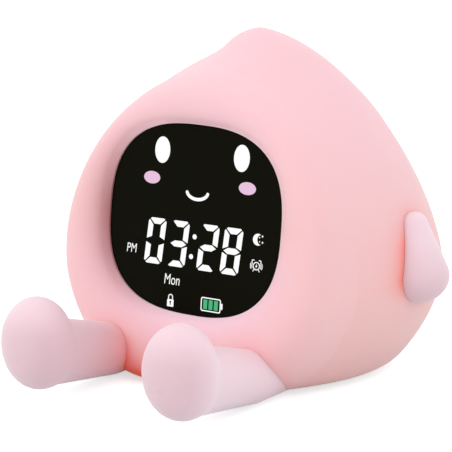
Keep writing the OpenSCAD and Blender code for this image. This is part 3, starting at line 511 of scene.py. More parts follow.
class Nodes:
    """Short way to build a finish's node tree. The finish is kept in FINISHES."""

    def __init__(self, name):
        self.material = bpy.data.materials.new(name)
        self.material.use_nodes = True
        FINISHES[name] = self.material
        self.tree = self.material.node_tree
        self.shader = self.tree.nodes["Principled BSDF"]
        self.coords = self.add("ShaderNodeTexCoord", {}).outputs["Object"]

    def add(self, kind, inputs, **settings):
        return add_node(self.tree, kind, inputs, **settings)

    def set(self, **inputs):
        fill(self.tree, self.shader, {key.replace("_", " "): value for key, value in inputs.items()})

    def noise(self, scale, detail):
        inputs = {"Vector": self.coords, "Scale": scale, "Detail": detail}
        return self.add("ShaderNodeTexNoise", inputs).outputs["Fac"]

    def ramp(self, value, low, high, start=0.3, end=0.7):
        """A colour that goes from low to high while the value goes from start to end."""
        node = self.add("ShaderNodeValToRGB", {"Fac": value})
        for stop, place, tint in zip(node.color_ramp.elements, (start, end), (low, high)):
            stop.position = place
            stop.color = (*tint, 1)
        return node.outputs["Color"]

    def mixed(self, share, color, rest, most=None):
        """A colour laid over another one, by a share, which most scales down."""
        if most is not None:
            share = self.add("ShaderNodeMath", {0: share, 1: most}, operation="MULTIPLY").outputs[0]
        inputs = {"Factor": share, 6: rest, 7: (*color, 1)}
        return self.add("ShaderNodeMix", inputs, data_type="RGBA").outputs[2]

    def surface(self, rough, low, high, grain, height, strength):
        """Roughness between two values, and bumps of a height."""
        bumps = {"Height": grain, "Distance": height, "Strength": strength}
        self.set(Normal=self.add("ShaderNodeBump", bumps).outputs["Normal"])
        ends = {"Value": rough, "To Min": low, "To Max": high}
        self.set(Roughness=self.add("ShaderNodeMapRange", ends).outputs["Result"])


def shade(color, factor):
    return tuple(min(c * factor, 1.0) for c in color)


def silicone(name, low, high, crease, hollow, bloom, sheen):
    """Matte silicone: light bleeds a little, its top is painted lighter, and each share kept on the mesh lays
    painted shade or light over it.
    """
    n = Nodes(name)
    n.set(Subsurface_Weight=looks().skin_bleed, Subsurface_Scale=0.004, Subsurface_Radius=(1.0, 0.45, 0.35))
    n.set(Specular_IOR_Level=0.3, Sheen_Weight=sheen, Sheen_Roughness=0.45)
    # Painted light: the colour turns from the skin's to the crown's with height, so the top looks lit
    height = n.add("ShaderNodeSeparateXYZ", {0: n.coords}).outputs["Z"]
    inputs = {"Value": height, "From Min": 0.01, "From Max": 0.1}
    rise = n.add("ShaderNodeMapRange", inputs, interpolation_type="SMOOTHSTEP").outputs["Result"]
    mix = n.mixed(n.noise(22, 4), shade(low, 0.96), n.ramp(rise, low, high, 0.0, 1.0), 0.12)
    # Painted shade and light: the shares lay shade in the creases and beside the window, and light under the
    # window
    for label, tint in (("bloom", bloom), ("crease", crease), ("hollow", hollow)):
        share = n.add("ShaderNodeAttribute", {}, attribute_name=label).outputs["Fac"]
        mix = n.mixed(share, tint, mix)
    n.set(Base_Color=mix)
    n.surface(n.noise(300, 3), 0.62, 0.74, n.noise(5200, 2), 0.00003, 0.5)


def plastic(name, color, rough=0.45, grain=3000.0, height=0.00003, specular=0.5):
    """Moulded plastic, rubber or foam: grain is how fine its surface is, and height how deep."""
    n = Nodes(name)
    n.set(Specular_IOR_Level=specular, Base_Color=n.ramp(n.noise(60, 3), shade(color, 0.93), color))
    n.surface(n.noise(420, 4), max(rough - 0.06, 0.03), rough + 0.06, n.noise(grain, 2), height, 0.6)


def brushed(name, color, rough=0.3):
    """Bare metal."""
    n = Nodes(name)
    n.set(Metallic=1.0, Base_Color=n.ramp(n.noise(500, 2), shade(color, 0.8), color))
    n.surface(n.noise(1500, 3), rough - 0.08, rough + 0.1, n.noise(4000, 2), 0.00002, 0.5)


def lit(name, color):
    """A lit sign behind the window."""
    n = Nodes(name)
    n.set(Emission_Strength=1.0, Roughness=0.6, Specular_IOR_Level=0.0, Base_Color=(*shade(color, 0.02), 1))
    n.set(Emission_Color=n.ramp(n.noise(900, 2), shade(color, 0.97), color, 0.2, 0.6))


def circuit_board(name, color):
    """Solder mask over traces."""
    n = Nodes(name)
    parts = {"Color1": 1, "Color2": 0.8, "Mortar": 1.6}
    colors = {key: (*shade(color, part), 1) for key, part in parts.items()}
    traces = n.add("ShaderNodeTexBrick", {"Vector": n.coords, "Scale": 260.0, **colors})
    n.set(Base_Color=traces.outputs["Color"])
    n.surface(n.noise(800, 2), 0.3, 0.45, traces.outputs["Fac"], 0.00004, 0.4)


# Colour, roughness, and the fineness and depth of the grain where it isn't the usual one
MOULDED = {
    "foam": ((0.05, 0.05, 0.05), 0.8, 1400, 0.0001),
    "white_plastic": ((0.82, 0.82, 0.8), 0.5),
    "milky_plastic": ((0.8, 0.78, 0.74), 0.5),
    "button_plastic": ((0.86, 0.84, 0.83), 0.38, 3200, 0.00002),
    "led": ((0.9, 0.85, 0.6), 0.25),
    "dark_parts": ((0.03, 0.03, 0.032), 0.55),
    "pad_rubber": ((0.72, 0.42, 0.43), 0.75, 1800, 0.00008),
    "cell_sleeve": ((0.1, 0.25, 0.55), 0.3),
    "cable": ((0.5, 0.03, 0.02), 0.5),
    "ribbon_cable": ((0.62, 0.6, 0.55), 0.5),
    "button_mark": ((0.45, 0.25, 0.28), 0.6),
}


def make_finishes():
    look = looks()
    skin = (look.skin_color, look.crown_light_color, look.crease_shade_color, look.hollow_shade_color, look.chin_light_color)
    # On the limbs the sole colour is painted shade on the soles and hands
    limb = (look.limb_color, look.limb_color, look.crease_shade_color, look.sole_shade_color, look.limb_color)
    silicone("pink_silicone", *skin, sheen=0.15)
    silicone("pale_silicone", *limb, sheen=0.4)
    plastic("display_window", look.window_color, 0.35, height=0.000004, specular=0.02)
    plastic("panel_plastic", look.panel_color, 0.5, 2600, 0.00004)
    for name, values in MOULDED.items():
        plastic(name, *values)
    circuit_board("green_board", (0.03, 0.2, 0.09))
    circuit_board("white_board", (0.8, 0.8, 0.8))
    brushed("screw_steel", (0.62, 0.62, 0.64))
    brushed("copper_foil", (0.72, 0.4, 0.2), 0.35)
    lit("lit_sign", look.sign_color)
    lit("lit_cheek", look.cheek_color)
    lit("lit_charge", look.charge_color)


def paint(data, finish):
    data.materials.clear()
    data.materials.append(FINISHES[finish])


class CLOCK_OT_finishes(bpy.types.Operator):
    """Makes the finishes and gives each carried-over node its own"""

    bl_idname = "alarm_clock.finishes"
    bl_label = "Finishes"

    def execute(self, context):
        make_finishes()
        for part in frame["record"]["subparts"]:
            paint(frame["nodes"][part["node"]].data, part["material_slot"])
        return {"FINISHED"}


# ---------- skin and limbs

# The painted shade and light: how far each reaches from what casts it, how far behind the display
# those round the window go, and how strong the deepest is
HOLLOW_DEPTH = 0.95
HOLLOW_REACH = 4.2
HOLLOW_BACK = 2
CHIN_LIGHT_REACH = 16
CHIN_LIGHT_BACK = 12
LEG_SHADE_REACH = 2.2
ARM_SHADE_REACH = 3.0
BETWEEN_SHADE_REACH = 4
SEAM_SHADE_REACH = 1.6
INNER_SHADE_REACH = 16


def fade(away, reach):
    """1 at a form and inside it, and less with the distance from it."""
    return np.exp(-np.maximum(away, 0) / reach)


def grows(value, start, end):
    """0 on one side of start and 1 past end, whichever way they lie."""
    return np.clip((value - start) / (end - start), 0, 1)


def outer_skin(name, around, rings, grow):
    """The outside as one closed solid: rings spread from the window's edge to the back."""
    t = full_turn(around)
    turn = t + CROWDING * np.cos(t)
    edge = squircle_radius(WINDOW_W + WINDOW_LAP, WINDOW_H + WINDOW_LAP, turn)
    start = np.arctan(edge / (EYE_DEPTH + LIP_EDGE))
    eye = from_face(0, 0, -EYE_DEPTH)
    origin = from_face(0, 0, 0)
    share = (np.arange(rings) / rings) ** RING_SPREAD
    swing = start + (math.pi - start) * share[:, None]
    way = from_face(np.sin(swing) * np.cos(turn), np.sin(swing) * np.sin(turn), np.cos(swing)) - origin
    points = solve(eye, way, *EYE_REACH, body_field, grow)
    points[0] = from_face(edge * np.cos(turn), edge * np.sin(turn), LIP_EDGE)
    back = solve(eye, from_face(0, 0, -1) - origin, *EYE_REACH, body_field, grow)
    return loft(name, points, from_face(0, 0, LIP_EDGE), back)


def window_prism(name, grow, back, front):
    return prism(name, squircle(WINDOW_W + grow, WINDOW_H + grow), back, front, from_face)


def panel_opening():
    """A cutter for the control panel's opening, flared at the skin so that the rim is round."""
    rim = shape().edge_round / MM
    swing = np.radians(np.linspace(0, 80, 9))
    flare = zip(rim * (1 - np.cos(swing)), rim * (1 - np.sin(swing)))
    rings = []
    for grow, inset in [(0, OPENING_DEPTH), *flare]:
        x, z = squircle(PANEL_W + PANEL_FIT + grow, PANEL_H + PANEL_FIT + grow).T
        z = z + PANEL_Z
        rings.append(together(x, np.sqrt(drop_radius(z, inset) ** 2 - x**2), z))
    inner, outer = rings[0].copy(), rings[-1].copy()
    inner[:, 1], outer[:, 1] = OPENING_ENDS
    return loft("opening", [inner, *rings, outer], *([0, y, PANEL_Z] for y in OPENING_ENDS))


def note(obj, label, share):
    """Keeps a share for each point, by its place, for the finish."""
    layer = obj.data.attributes.new(label, "FLOAT", "POINT")
    layer.data.foreach_set("value", np.clip(share(*places(obj.data)), 0, 1).astype(np.float32))


def tinted(obj, finish, **shares):
    """Gives a silicone piece its finish, with the shares of painted shade and light that it needs."""
    paint(obj.data, finish)
    for label, share in shares.items():
        note(obj, label, share)
    smooth_edges(obj, 50)


def round_window(x, y, z):
    """Distance out from the window, and the direction out of it."""
    across, along = x / WINDOW_W, up_face(y, z) / WINDOW_H
    out = np.maximum(ring_of(across, along, WINDOW_POWER) - 1, 0) * WINDOW_W
    size = np.maximum(np.hypot(across, along), 1e-3)
    return out, across / size, along / size


def skin_hollow_shade(x, y, z):
    """Painted shade beside the window, most at its left."""
    out, across, along = round_window(x, y, z)
    side = np.clip(-across - 0.4 * np.maximum(along, 0), 0, 1) ** 1.6
    return (ahead(y, z) > -HOLLOW_BACK) * fade(out, HOLLOW_REACH) * HOLLOW_DEPTH * (0.05 + 0.95 * side)


def skin_chin_light(x, y, z):
    """Painted light, rosy, under the window."""
    out, _, along = round_window(x, y, z)
    return (ahead(y, z) > -CHIN_LIGHT_BACK) * fade(out, CHIN_LIGHT_REACH) * np.clip(-along, 0, 1) ** 0.7


def skin_creases(x, y, z):
    """Painted shade and warm bounce light where a limb leaves the body, and low between the legs."""
    side = np.abs(x)
    inner = grows(side, LEG_X + 2, LEG_X - 7) * grows(z, 17, 7)
    leg = fade(leg_field(side - LEG_X, y, z), LEG_SHADE_REACH) * (0.15 + 0.65 * inner) * (y < 0)
    arm = fade(arm_field(side, y, z), ARM_SHADE_REACH) * grows(z, 29, 37) * np.maximum(grows(z, 60, 48), 0.25)
    between = fade(z - 4, BETWEEN_SHADE_REACH) * grows(y, -10, -30) * grows(side, 30, 22)
    return 1 - (1 - 0.95 * between) * (1 - leg) * (1 - 0.8 * arm)


def leg_creases(x, y, z):
    """Painted shade and warm bounce light on the side that faces the other leg, most near the body."""
    inner = grows(np.abs(x), LEG_X + LEG_R, LEG_X - LEG_R)
    away = body_field(x, y, z)
    return inner * (0.42 * fade(away, INNER_SHADE_REACH) + 0.12 * fade(away, 2)) + 0.1 * fade(away, SEAM_SHADE_REACH)


def arm_creases(x, y, z):
    """Painted shade and warm bounce light near the body."""
    return 0.2 * fade(body_field(x, y, z), SEAM_SHADE_REACH)


def leg_shade(x, y, z):
    """Painted shade on the sole."""
    return 0.5 * grows(y, 2 - FOOT_Y, -7 - FOOT_Y) * np.maximum(grows(z, 34, 24), 0.3)


def arm_shade(x, y, z):
    """Painted shade, growing towards the hand."""
    return 0.8 * grows(z, 49, 27)


class CLOCK_OT_skin(bpy.types.Operator):
    """Makes the drop-shaped silicone skin with its lip, its base opening and the opening for the panel"""

    bl_idname = "alarm_clock.skin"
    bl_label = "Silicone skin"

    def execute(self, context):
        skin = carve(
            outer_skin("silicone_skin", *SKIN_POINTS, 0),
            panel_opening(),
            core_solid(),
            window_prism("snout", SNOUT_GROW, -SNOUT_DEPTH - 1, 0),
            window_prism("window", 0, -1, 14),
            prism("base", circle(PLATE_OPENING, 192), -1, PLATE_TOP, together),
        )
        # Painted shade in the creases and beside the window, and painted light under the window
        tinted(skin, "pink_silicone", crease=skin_creases, hollow=skin_hollow_shade, bloom=skin_chin_light)
        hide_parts("body_skin")
        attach(skin, ROOT)
        return {"FINISHED"}


# Legs: a tube that tapers from the ankle up to the body, and an egg-shaped foot
LEG_X = 28.2
LEG_R = 9
LEG_LIFT = 0.4
LEG_REACH = 34
LEG_BLEND = 1.2
LEG_END = -30
ANKLE_R = 11.5
ANKLE_DROP = 3.2
FOOT_Y = 84.6
FOOT_Z = 19.6
FOOT_L = 11
LIMB_GAP = 0.06


def leg_share(y):
    """How far up the leg a place is: 0 at the ankle and 1 at the body."""
    return np.clip((y + FOOT_Y - 2) / LEG_REACH, 0, 1)


def leg_middle(y):
    """Height of the leg's middle line."""
    ankle_z = FOOT_Z - ANKLE_DROP
    return ankle_z + leg_share(y) * (LEG_LIFT + LEG_R - ankle_z)


def leg_field(x, y, z):
    """Distance from a leg, about in millimetres. x is measured from the leg's middle."""
    wide, high = shape().foot_width / MM, shape().foot_height / MM
    foot = np.sqrt((x / wide) ** 2 + ((y + FOOT_Y) / FOOT_L) ** 2 + ((z - FOOT_Z) / high) ** 2)
    tube = np.sqrt(x**2 + (z - leg_middle(y)) ** 2 + np.maximum(-y - FOOT_Y + 2, 0) ** 2)
    tube = tube - (ANKLE_R + leg_share(y) * (LEG_R - ANKLE_R))
    return blend_min((foot - 1) * FOOT_L, tube, LEG_BLEND)


def leg_solid(name, side):
    t = full_turn(96)
    foot = -FOOT_Y - FOOT_L * np.cos(np.radians(np.linspace(6, 165, 48)))
    y = np.concatenate([foot, np.linspace(foot[-1] + 0.8, LEG_END, 40)])[:, None]
    origin = together(0, y, leg_middle(y))
    way = np.broadcast_to(together(np.cos(t), 0, np.sin(t)), (len(y), len(t), 3))
    points = solve(origin, way, 0.01, 30, leg_field)
    points[..., 0] = side * (LEG_X + points[..., 0])
    toe, root = [side * LEG_X, -FOOT_Y - FOOT_L, FOOT_Z], [side * LEG_X, LEG_END, LEG_R]
    return loft(name, points, toe, root)


# Arms: a round cone from the shoulder to the hand, stretched along y
ARM_Y = 2.6
ARM_WIDE = 1.4
SHOULDER_R = 4.2
SHOULDER_Z = 53
SHOULDER_IN = 4
SHOULDER_BACK = 0.7
HAND_Z = 36.2
HAND_OUT = -0.2


def arm_ends():
    """Middles of the shoulder and the hand, of the arm at +X."""
    shoulder_x = drop_radius(SHOULDER_Z, 0) - SHOULDER_IN + SHOULDER_R
    shoulder = np.array([shoulder_x, ARM_Y + SHOULDER_BACK, SHOULDER_Z])
    hand = np.array([drop_radius(HAND_Z, 0) + HAND_OUT, ARM_Y, HAND_Z])
    return shoulder, hand


def arm_field(x, y, z):
    """Distance from the arm at +X, about in millimetres."""
    top, low = arm_ends()
    p = together(x, ARM_Y + (y - ARM_Y) / ARM_WIDE, z) - top
    axis = low - top
    share = np.clip(p @ axis / (axis @ axis), 0, 1)
    away = np.linalg.norm(p - share[..., None] * axis, axis=-1)
    return away - SHOULDER_R - share * (shape().hand_radius / MM - SHOULDER_R)


def arm_solid(name, side):
    hand_r = shape().hand_radius / MM
    top, low = arm_ends()
    reach = np.linalg.norm(low - top)
    axis = (low - top) / reach
    across = np.cross(axis, [0, 1, 0])
    across /= np.linalg.norm(across)
    over = np.cross(across, axis)
    tangent = math.pi / 2 - math.asin((hand_r - SHOULDER_R) / reach)

    def cap(middle, r, swings):
        """Middles and radii of the rings of a ball."""
        return [(middle - axis * r * math.cos(a), r * math.sin(a)) for a in swings]

    shoulder = cap(top, SHOULDER_R, np.linspace(0, tangent, 26)[1:])
    hand = cap(low, hand_r, np.linspace(tangent, math.pi, 40)[:-1])
    (start, start_r), (end, end_r) = shoulder[-1], hand[0]
    cone = [(start + (end - start) * s, start_r + (end_r - start_r) * s) for s in np.linspace(0, 1, 26)[1:-1]]
    t = full_turn(72)[:, None]
    arm = np.array([c + r * (np.cos(t) * across + np.sin(t) * over) for c, r in shoulder + cone + hand])
    poles = [top - axis * SHOULDER_R, low + axis * hand_r]
    for p in (arm, *poles):
        p[..., 0] *= side
        p[..., 1] = ARM_Y + (p[..., 1] - ARM_Y) * ARM_WIDE
    return loft(name, arm, *poles)


class CLOCK_OT_limbs(bpy.types.Operator):
    """Makes the arms and legs and seats them on the skin"""

    bl_idname = "alarm_clock.limbs"
    bl_label = "Arms and legs"

    def execute(self, context):
        seat = outer_skin("seat", *SEAT_POINTS, LIMB_GAP)
        for limb, solid, creases, limb_shade in (
            ("leg", leg_solid, leg_creases, leg_shade),
            ("arm", arm_solid, arm_creases, arm_shade),
        ):
            for label, side in (("left", -1), ("right", 1)):
                piece = carve(solid(f"silicone_{limb}_{label}", side), seat, keep=(seat,))
                # Painted shade on the limbs: in the creases near the body, and on the soles and hands
                tinted(piece, "pale_silicone", crease=creases, hollow=limb_shade)
                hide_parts(f"{label}_{limb}")
                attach(piece, ROOT)
        drop_object(seat)
        return {"FINISHED"}


# ---------- display

# The signs stand just in front of the window, turned a little with the display behind it
SIGN_FRONT = 0.05
SIGN_BACK = 0.012
SIGN_TURN = math.radians(0.9)
DIGIT_X = (-15.3, -5.9, 6, 15.3)
DIGIT_Y = -8.44
DIGIT_CUT = 0.75
MIDDLE_TIP = 0.45
COLON_DOTS = ((0.5, -5.4), (-0.5, -12.0))
DOT_R = 0.82
LETTER_LEAN = 0.1
LETTER_THIN = 0.02
# Text size, place and width share of the words
DAY_HALF = (4.4, -24.9, -12.0, 0.76)
WEEKDAY = (5.0, -7.7, -20.6, 0.72)
# Places and half sizes of the face, and places of the small signs
EYES_X, EYE_Y, EYE_W, EYE_H = (-14.3, 17.2), 21.7, 3.05, 4.35
CHEEKS_X, CHEEK_Y, CHEEK_W, CHEEK_H = (-18.0, 20.0), 12.3, 3.3, 2.05
MOUTH_X, MOUTH_Y, MOUTH_W, MOUTH_H, MOUTH_LINE = 0.6, 9.4, 4.2, 2.6, 1.1
PADLOCK = (-7.8, -28.2)
BATTERY = (8.4, -26.8)
MOON = (25.2, -3.5)
ALARM = (25.2, -12.0)
# Lit segments of the digits 0 to 9: a is the top, b to f go on clockwise, and g is the middle
DIGITS = ("abcdef", "bc", "abged", "abgcd", "fgbc", "afgcd", "afgedc", "abc", "abcdefg", "abcdfg")


def placed(name, curve, place, middle, finish):
    """Turns a flat curve or text into a mesh, and moves it to its place."""
    flat = new_object(name, curve)
    mesh = evaluated_mesh(flat)
    bpy.data.objects.remove(flat)
    bpy.data.curves.remove(curve)
    x, y, z = places(mesh)
    mesh.vertices.foreach_set("co", (place(x, y, z + middle) * MM).ravel())
    mesh.update()
    paint(mesh, finish)
    return new_object(name, mesh)


def plate(name, loops, place, finish, front=SIGN_FRONT, back=SIGN_BACK):
    """A thin closed plate inside flat loops of points: the outside first, then its holes."""
    curve = bpy.data.curves.new(name, "CURVE")
    curve.dimensions = "2D"
    curve.fill_mode = "BOTH"
    for loop in loops:
        spline = curve.splines.new("POLY")
        spline.points.add(len(loop) - 1)
        for point, (x, y) in zip(spline.points, loop):
            point.co = (x * MM, y * MM, 0, 1)
        spline.use_cyclic_u = True
    curve.extrude = (front - back) / 2 * MM
    return placed(name, curve, place, (front + back) / 2, finish)


def tilted_face(x, y, h):
    """A place on the display, turned with the signs."""
    c, s = math.cos(SIGN_TURN), math.sin(SIGN_TURN)
    return from_face(x * c - y * s, x * s + y * c, h)


def lettering(name, text, size, x, y, width):
    """A word on the display, its letters narrowed to a share of their usual width."""
    curve = bpy.data.curves.new(name, "FONT")
    curve.body = text
    curve.size = size * MM
    curve.align_x = "CENTER"
    curve.align_y = "CENTER"
    curve.shear = LETTER_LEAN
    curve.extrude = (SIGN_FRONT - SIGN_BACK) / 2 * MM
    curve.offset = -LETTER_THIN * MM

    def there(a, b, c):
        return tilted_face(a * width + x, b + y, c)

    return placed(name, curve, there, (SIGN_FRONT + SIGN_BACK) / 2, "lit_sign")


def joined(name, parts):
    """Joins mesh objects of one finish into one."""
    bm = bmesh.new()
    for part in parts:
        bm.from_mesh(part.data)
    mesh = bpy.data.meshes.new(name)
    bm.to_mesh(mesh)
    bm.free()
    mesh.materials.append(parts[0].data.materials[0])
    for part in parts:
        drop_object(part)
    return new_object(name, mesh)


def mirrored(outline, a, b):
    return [(a * x, b * y) for x, y in outline]


def segments():
    """Outlines of the seven segments of an upright digit, with mitred ends."""
    d = display()
    w, h = d.digit_width / MM / 2, d.digit_height / MM / 2
    bar, gap, cut = d.segment_width / MM, d.segment_gap / MM, DIGIT_CUT
    corner = [(w - gap - cut, h), (w - gap - cut / 3, h - cut / 2), (w - bar - gap, h - bar)]
    top = corner + mirrored(corner[::-1], -1, 1)
    side = [(w, gap * 1.4), (w, h - gap - cut), (w - cut / 2, h - gap - cut / 3)]
    side += [(w - bar, h - bar - gap), (w - bar, bar / 2 + gap)]
    tip, shoulder = (w - MIDDLE_TIP, 0), (w - bar - 0.1, bar / 2)
    upper = [tip, shoulder, *mirrored([shoulder], -1, 1)]
    return {
        "a": top,
        "b": side,
        "c": mirrored(side, 1, -1),
        "d": mirrored(top, 1, -1),
        "e": mirrored(side, -1, -1),
        "f": mirrored(side, -1, 1),
        "g": upper + mirrored(upper, -1, -1),
    }


def time_signs():
    """The lit segments of the four digits, and the colon."""
    shapes, lean = segments(), math.tan(display().digit_lean)
    bars = [
        [[(x + a + b * lean, DIGIT_Y + b) for a, b in shapes[letter]]]
        for x, digit in zip(DIGIT_X, display().shown_time)
        for letter in DIGITS[int(digit)]
    ]
    return bars + [[circle(DOT_R, 24, x, y)] for x, y in COLON_DOTS]


def face_signs():
    """The eyes and the mouth."""
    eyes = [[circle(EYE_W, 48, x, EYE_Y, EYE_H)] for x in EYES_X]
    return eyes + [[stroke(arc(MOUTH_X, MOUTH_Y, MOUTH_W, 192, 348, 24, MOUTH_H), MOUTH_LINE)]]


def padlock(x, y):
    """A padlock with a keyhole, its body's middle at x, y."""
    hole = np.concatenate([arc(x, y + 0.35, 0.38, -60, 240, 14), [(x - 0.2, y - 0.7), (x + 0.2, y - 0.7)]])
    bow = np.concatenate([[(x - 0.8, y + 1.3)], arc(x, y + 2, 0.8, 180, 0, 12), [(x + 0.8, y + 1.3)]])
    return [[box_loop(x, y, 2.6, 2.4, 0.25), hole[::-1]], [stroke(bow, 0.34)]]


def battery(x, y):
    """A battery's case and its pole."""
    case = [box_loop(x, y, 7.9, 4.6, 0.7), box_loop(x, y, 7.15, 3.85, 0.4)[::-1]]
    return [case, [box_loop(x + 4.35, y, 0.6, 2.0, 0.2)]]


def battery_bars(x, y):
    return [[box_loop(x - 2.15 + 2.1 * k, y, 1.55, 3.1, 0.1)] for k in range(3)]


def star(x, y, r):
    """A star of four points."""
    turns = [(r if k % 2 == 0 else 0.4 * r, k * math.pi / 4) for k in range(8)]
    return [(x + size * math.sin(a), y + size * math.cos(a)) for size, a in turns]


def moon(x, y):
    """A crescent with four stars beside it."""
    crescent = np.concatenate([arc(x, y, 1.9, 55, 305, 30), arc(x + 1.09, y, 1.3, 270, 90, 26, 1.556)[1:-1]])
    stars = ((0.6, 0.7, 0.35), (1.7, 1.2, 0.45), (0.7, -0.6, 0.3), (1.8, -0.8, 0.45))
    return [[crescent]] + [[star(x + a, y + b, r)] for a, b, r in stars]


def alarm_sign(x, y):
    """A small alarm clock: its rim, a bolt for hands, bells, feet and two waves at each side."""
    bolt = [(0.2, 0.8), (-0.4, -0.15), (-0.05, -0.15)]
    bolt += mirrored(bolt, -1, -1)
    sign = [[circle(1.35, 32, x, y), circle(1.05, 32, x, y)[::-1]], [[(x + a, y + b) for a, b in bolt]]]
    for side in (-1, 1):
        sign.append([stroke(arc(x + side * 1.25, y + 1.4, 0.5, 90 - side * 135, 90 + side * 35, 8), 0.28)])
        sign.append([stroke([(x + side * 0.9, y - 1.2), (x + side * 1.2, y - 1.7)], 0.28)])
        for reach in (1.75, 2.25):
            sign.append([stroke(arc(x, y, reach, 66 - side * 90, 114 - side * 90, 8), 0.24)])
    return sign


class CLOCK_OT_signs(bpy.types.Operator):
    """Makes the lit face, time and small signs in the display's plane"""

    bl_idname = "alarm_clock.signs"
    bl_label = "Lit signs"

    def execute(self, context):
        def plates(signs, finish="lit_sign"):
            return [plate("sign", loops, tilted_face, finish) for loops in signs]

        signs = plates(time_signs() + face_signs())
        signs.append(lettering("day_half", display().day_half, *DAY_HALF))
        signs.append(lettering("weekday", display().weekday, *WEEKDAY))
        signs += plates(padlock(*PADLOCK) + battery(*BATTERY) + moon(*MOON) + alarm_sign(*ALARM))
        sign = joined("display_signs", signs)
        cheeks = plates([[circle(CHEEK_W, 40, x, CHEEK_Y, CHEEK_H)] for x in CHEEKS_X], "lit_cheek")
        bars = plates(battery_bars(*BATTERY), "lit_charge")
        for piece in (sign, joined("display_cheeks", cheeks), joined("display_charge_bars", bars)):
            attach(piece, ROOT)
        return {"FINISHED"}


# ---------- controls at the back

# Each row's height and its buttons, from left to right in the body's frame
BUTTON_ROWS = {35: ("alarm", "light", "sound"), 23: ("down", "set", "up")}
PITCH = 13
BUTTON_PLACES = {
    f"{name}_button": (x, z) for z, row in BUTTON_ROWS.items() for x, name in zip((-PITCH, 0, PITCH), row)
}
MARK_FRONT = 0.08
MARK_BACK = 0.01


def on_button(x, z, h):
    """A point on the buttons' curved front, h above it."""
    inset = PANEL_RECESS - BUTTON_PROUD - h
    return together(x, np.sqrt(np.maximum(drop_radius(z, inset) ** 2 - x**2, 1)), z)


def button_marks():
    """Raised marks of each button, round its middle. x runs to the right as seen from behind."""
    bell = [[(-1.7, -1.0), (-1.2, -0.4)], arc(0, 0.3, 1.15, 180, 0, 16), [(1.2, -0.4), (1.7, -1.0)]]
    rays = [
        [stroke([(r * math.cos(a), r * math.sin(a)) for r in (1.6, 2.4)], 0.42)]
        for a in np.arange(8) * math.pi / 4
    ]
    tail = stroke([(0.7, -0.9), (0.7, 1.6), (-0.9, 1.2)], 0.45)
    bar = [box_loop(0, 0, 3.4, 0.62, 0.2)]
    return {
        "alarm_button": [[np.concatenate(bell)], [circle(0.45, 16, 0, -1.45)]],
        "light_button": [[circle(1.0, 24)], *rays],
        "sound_button": [[tail], [circle(0.75, 20, 0.25, -1.0, 0.55)]],
        "down_button": [bar],
        "set_button": [[circle(1.5, 32), circle(0.95, 32)[::-1]]],
        "up_button": [bar] + [[box_loop(0, side * 1.05, 0.62, 1.5, 0.2)] for side in (1, -1)],
    }


class CLOCK_OT_marks(bpy.types.Operator):
    """Makes the raised marks on the buttons. Each moves with its button"""

    bl_idname = "alarm_clock.marks"
    bl_label = "Button marks"

    def execute(self, context):
        for name, marks in button_marks().items():
            middle_x, middle_z = BUTTON_PLACES[name]

            def there(x, y, h):
                return on_button(middle_x - x, middle_z + y, h)

            parts = [plate("mark", loops, there, "button_mark", MARK_FRONT, MARK_BACK) for loops in marks]
            piece = outwards(joined(name.replace("button", "mark"), parts))
            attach(piece, name)
        return {"FINISHED"}


# ---------- screws

SCREW_R = 1.2
HEAD_R = 2.3
HEAD_T = 1.1
CROSS_L = 2.5
CROSS_W = 0.5
CROSS_FLOOR = 0.45
BASE_SCREW_L = 7.5
PANEL_SCREW_L = 8
BASE_SCREW_Z = 2.5
# Half spacings and middle of the screws of the base plate and of the lamp stand
BASE_SPACING = (25, 25, 0)
STAND_SPACING = (12, 13, 4)
SCREW_TURNS = (0.3, 1.1, 0.7, 0.2, 0.9, 0.5, 1.3, 0.1)


def repeat_tree():
    """Puts a pattern piece on every point, its Z along Facing, turned about it by the point's spin."""
    tree = bpy.data.node_groups.get("repeated pieces")
    if tree:
        return tree
    tree = bpy.data.node_groups.new("repeated pieces", "GeometryNodeTree")
    inputs = {"Geometry": "Geometry", "Pattern": "Object", "Facing": "Vector", "Size": "Float"}
    for label, kind in {**inputs, "Finish": "Material"}.items():
        tree.interface.new_socket(label, in_out="INPUT", socket_type="NodeSocket" + kind)
    tree.interface.new_socket("Geometry", in_out="OUTPUT", socket_type="NodeSocketGeometry")

    def add(kind, inputs, **settings):
        return add_node(tree, kind, inputs, **settings).outputs

    start = add("NodeGroupInput", {})
    info = add("GeometryNodeObjectInfo", {"Object": start["Pattern"]})
    face = add("FunctionNodeAlignRotationToVector", {"Vector": start["Facing"]}, axis="Z")
    spin = add("GeometryNodeInputNamedAttribute", {"Name": "spin"}, data_type="FLOAT")
    turn = add("FunctionNodeAxisAngleToRotation", {"Axis": (0, 0, 1), "Angle": spin["Attribute"]})
    both = {"Rotation": face["Rotation"], "Rotate By": turn["Rotation"]}
    both = add("FunctionNodeRotateRotation", both, rotation_space="LOCAL")
    copies = {"Points": start["Geometry"], "Instance": info["Geometry"], "Rotation": both["Rotation"]}
    copies = add("GeometryNodeInstanceOnPoints", {**copies, "Scale": start["Size"]})
    real = add("GeometryNodeRealizeInstances", {"Geometry": copies["Instances"]})
    done = add("GeometryNodeSetMaterial", {"Geometry": real["Geometry"], "Material": start["Finish"]})
    add("NodeGroupOutput", {"Geometry": done["Geometry"]})
    return tree


def repeated(name, pattern, points, facing, finish):
    """Copies of a pattern object on points in millimetres, as one plain mesh."""
    obj = add_mesh(name, points, [])
    spin = obj.data.attributes.new("spin", "FLOAT", "POINT")
    spin.data.foreach_set("value", SCREW_TURNS[: len(points)])
    modifier = obj.modifiers.new("repeat", "NODES")
    modifier.node_group = repeat_tree()
    values = {"Pattern": pattern, "Facing": facing, "Size": 1.0, "Finish": finish}
    for socket in modifier.node_group.interface.items_tree:
        if socket.name in values:
            modifier[socket.identifier] = values[socket.name]
    baked(obj)
    drop_object(pattern)
    return obj


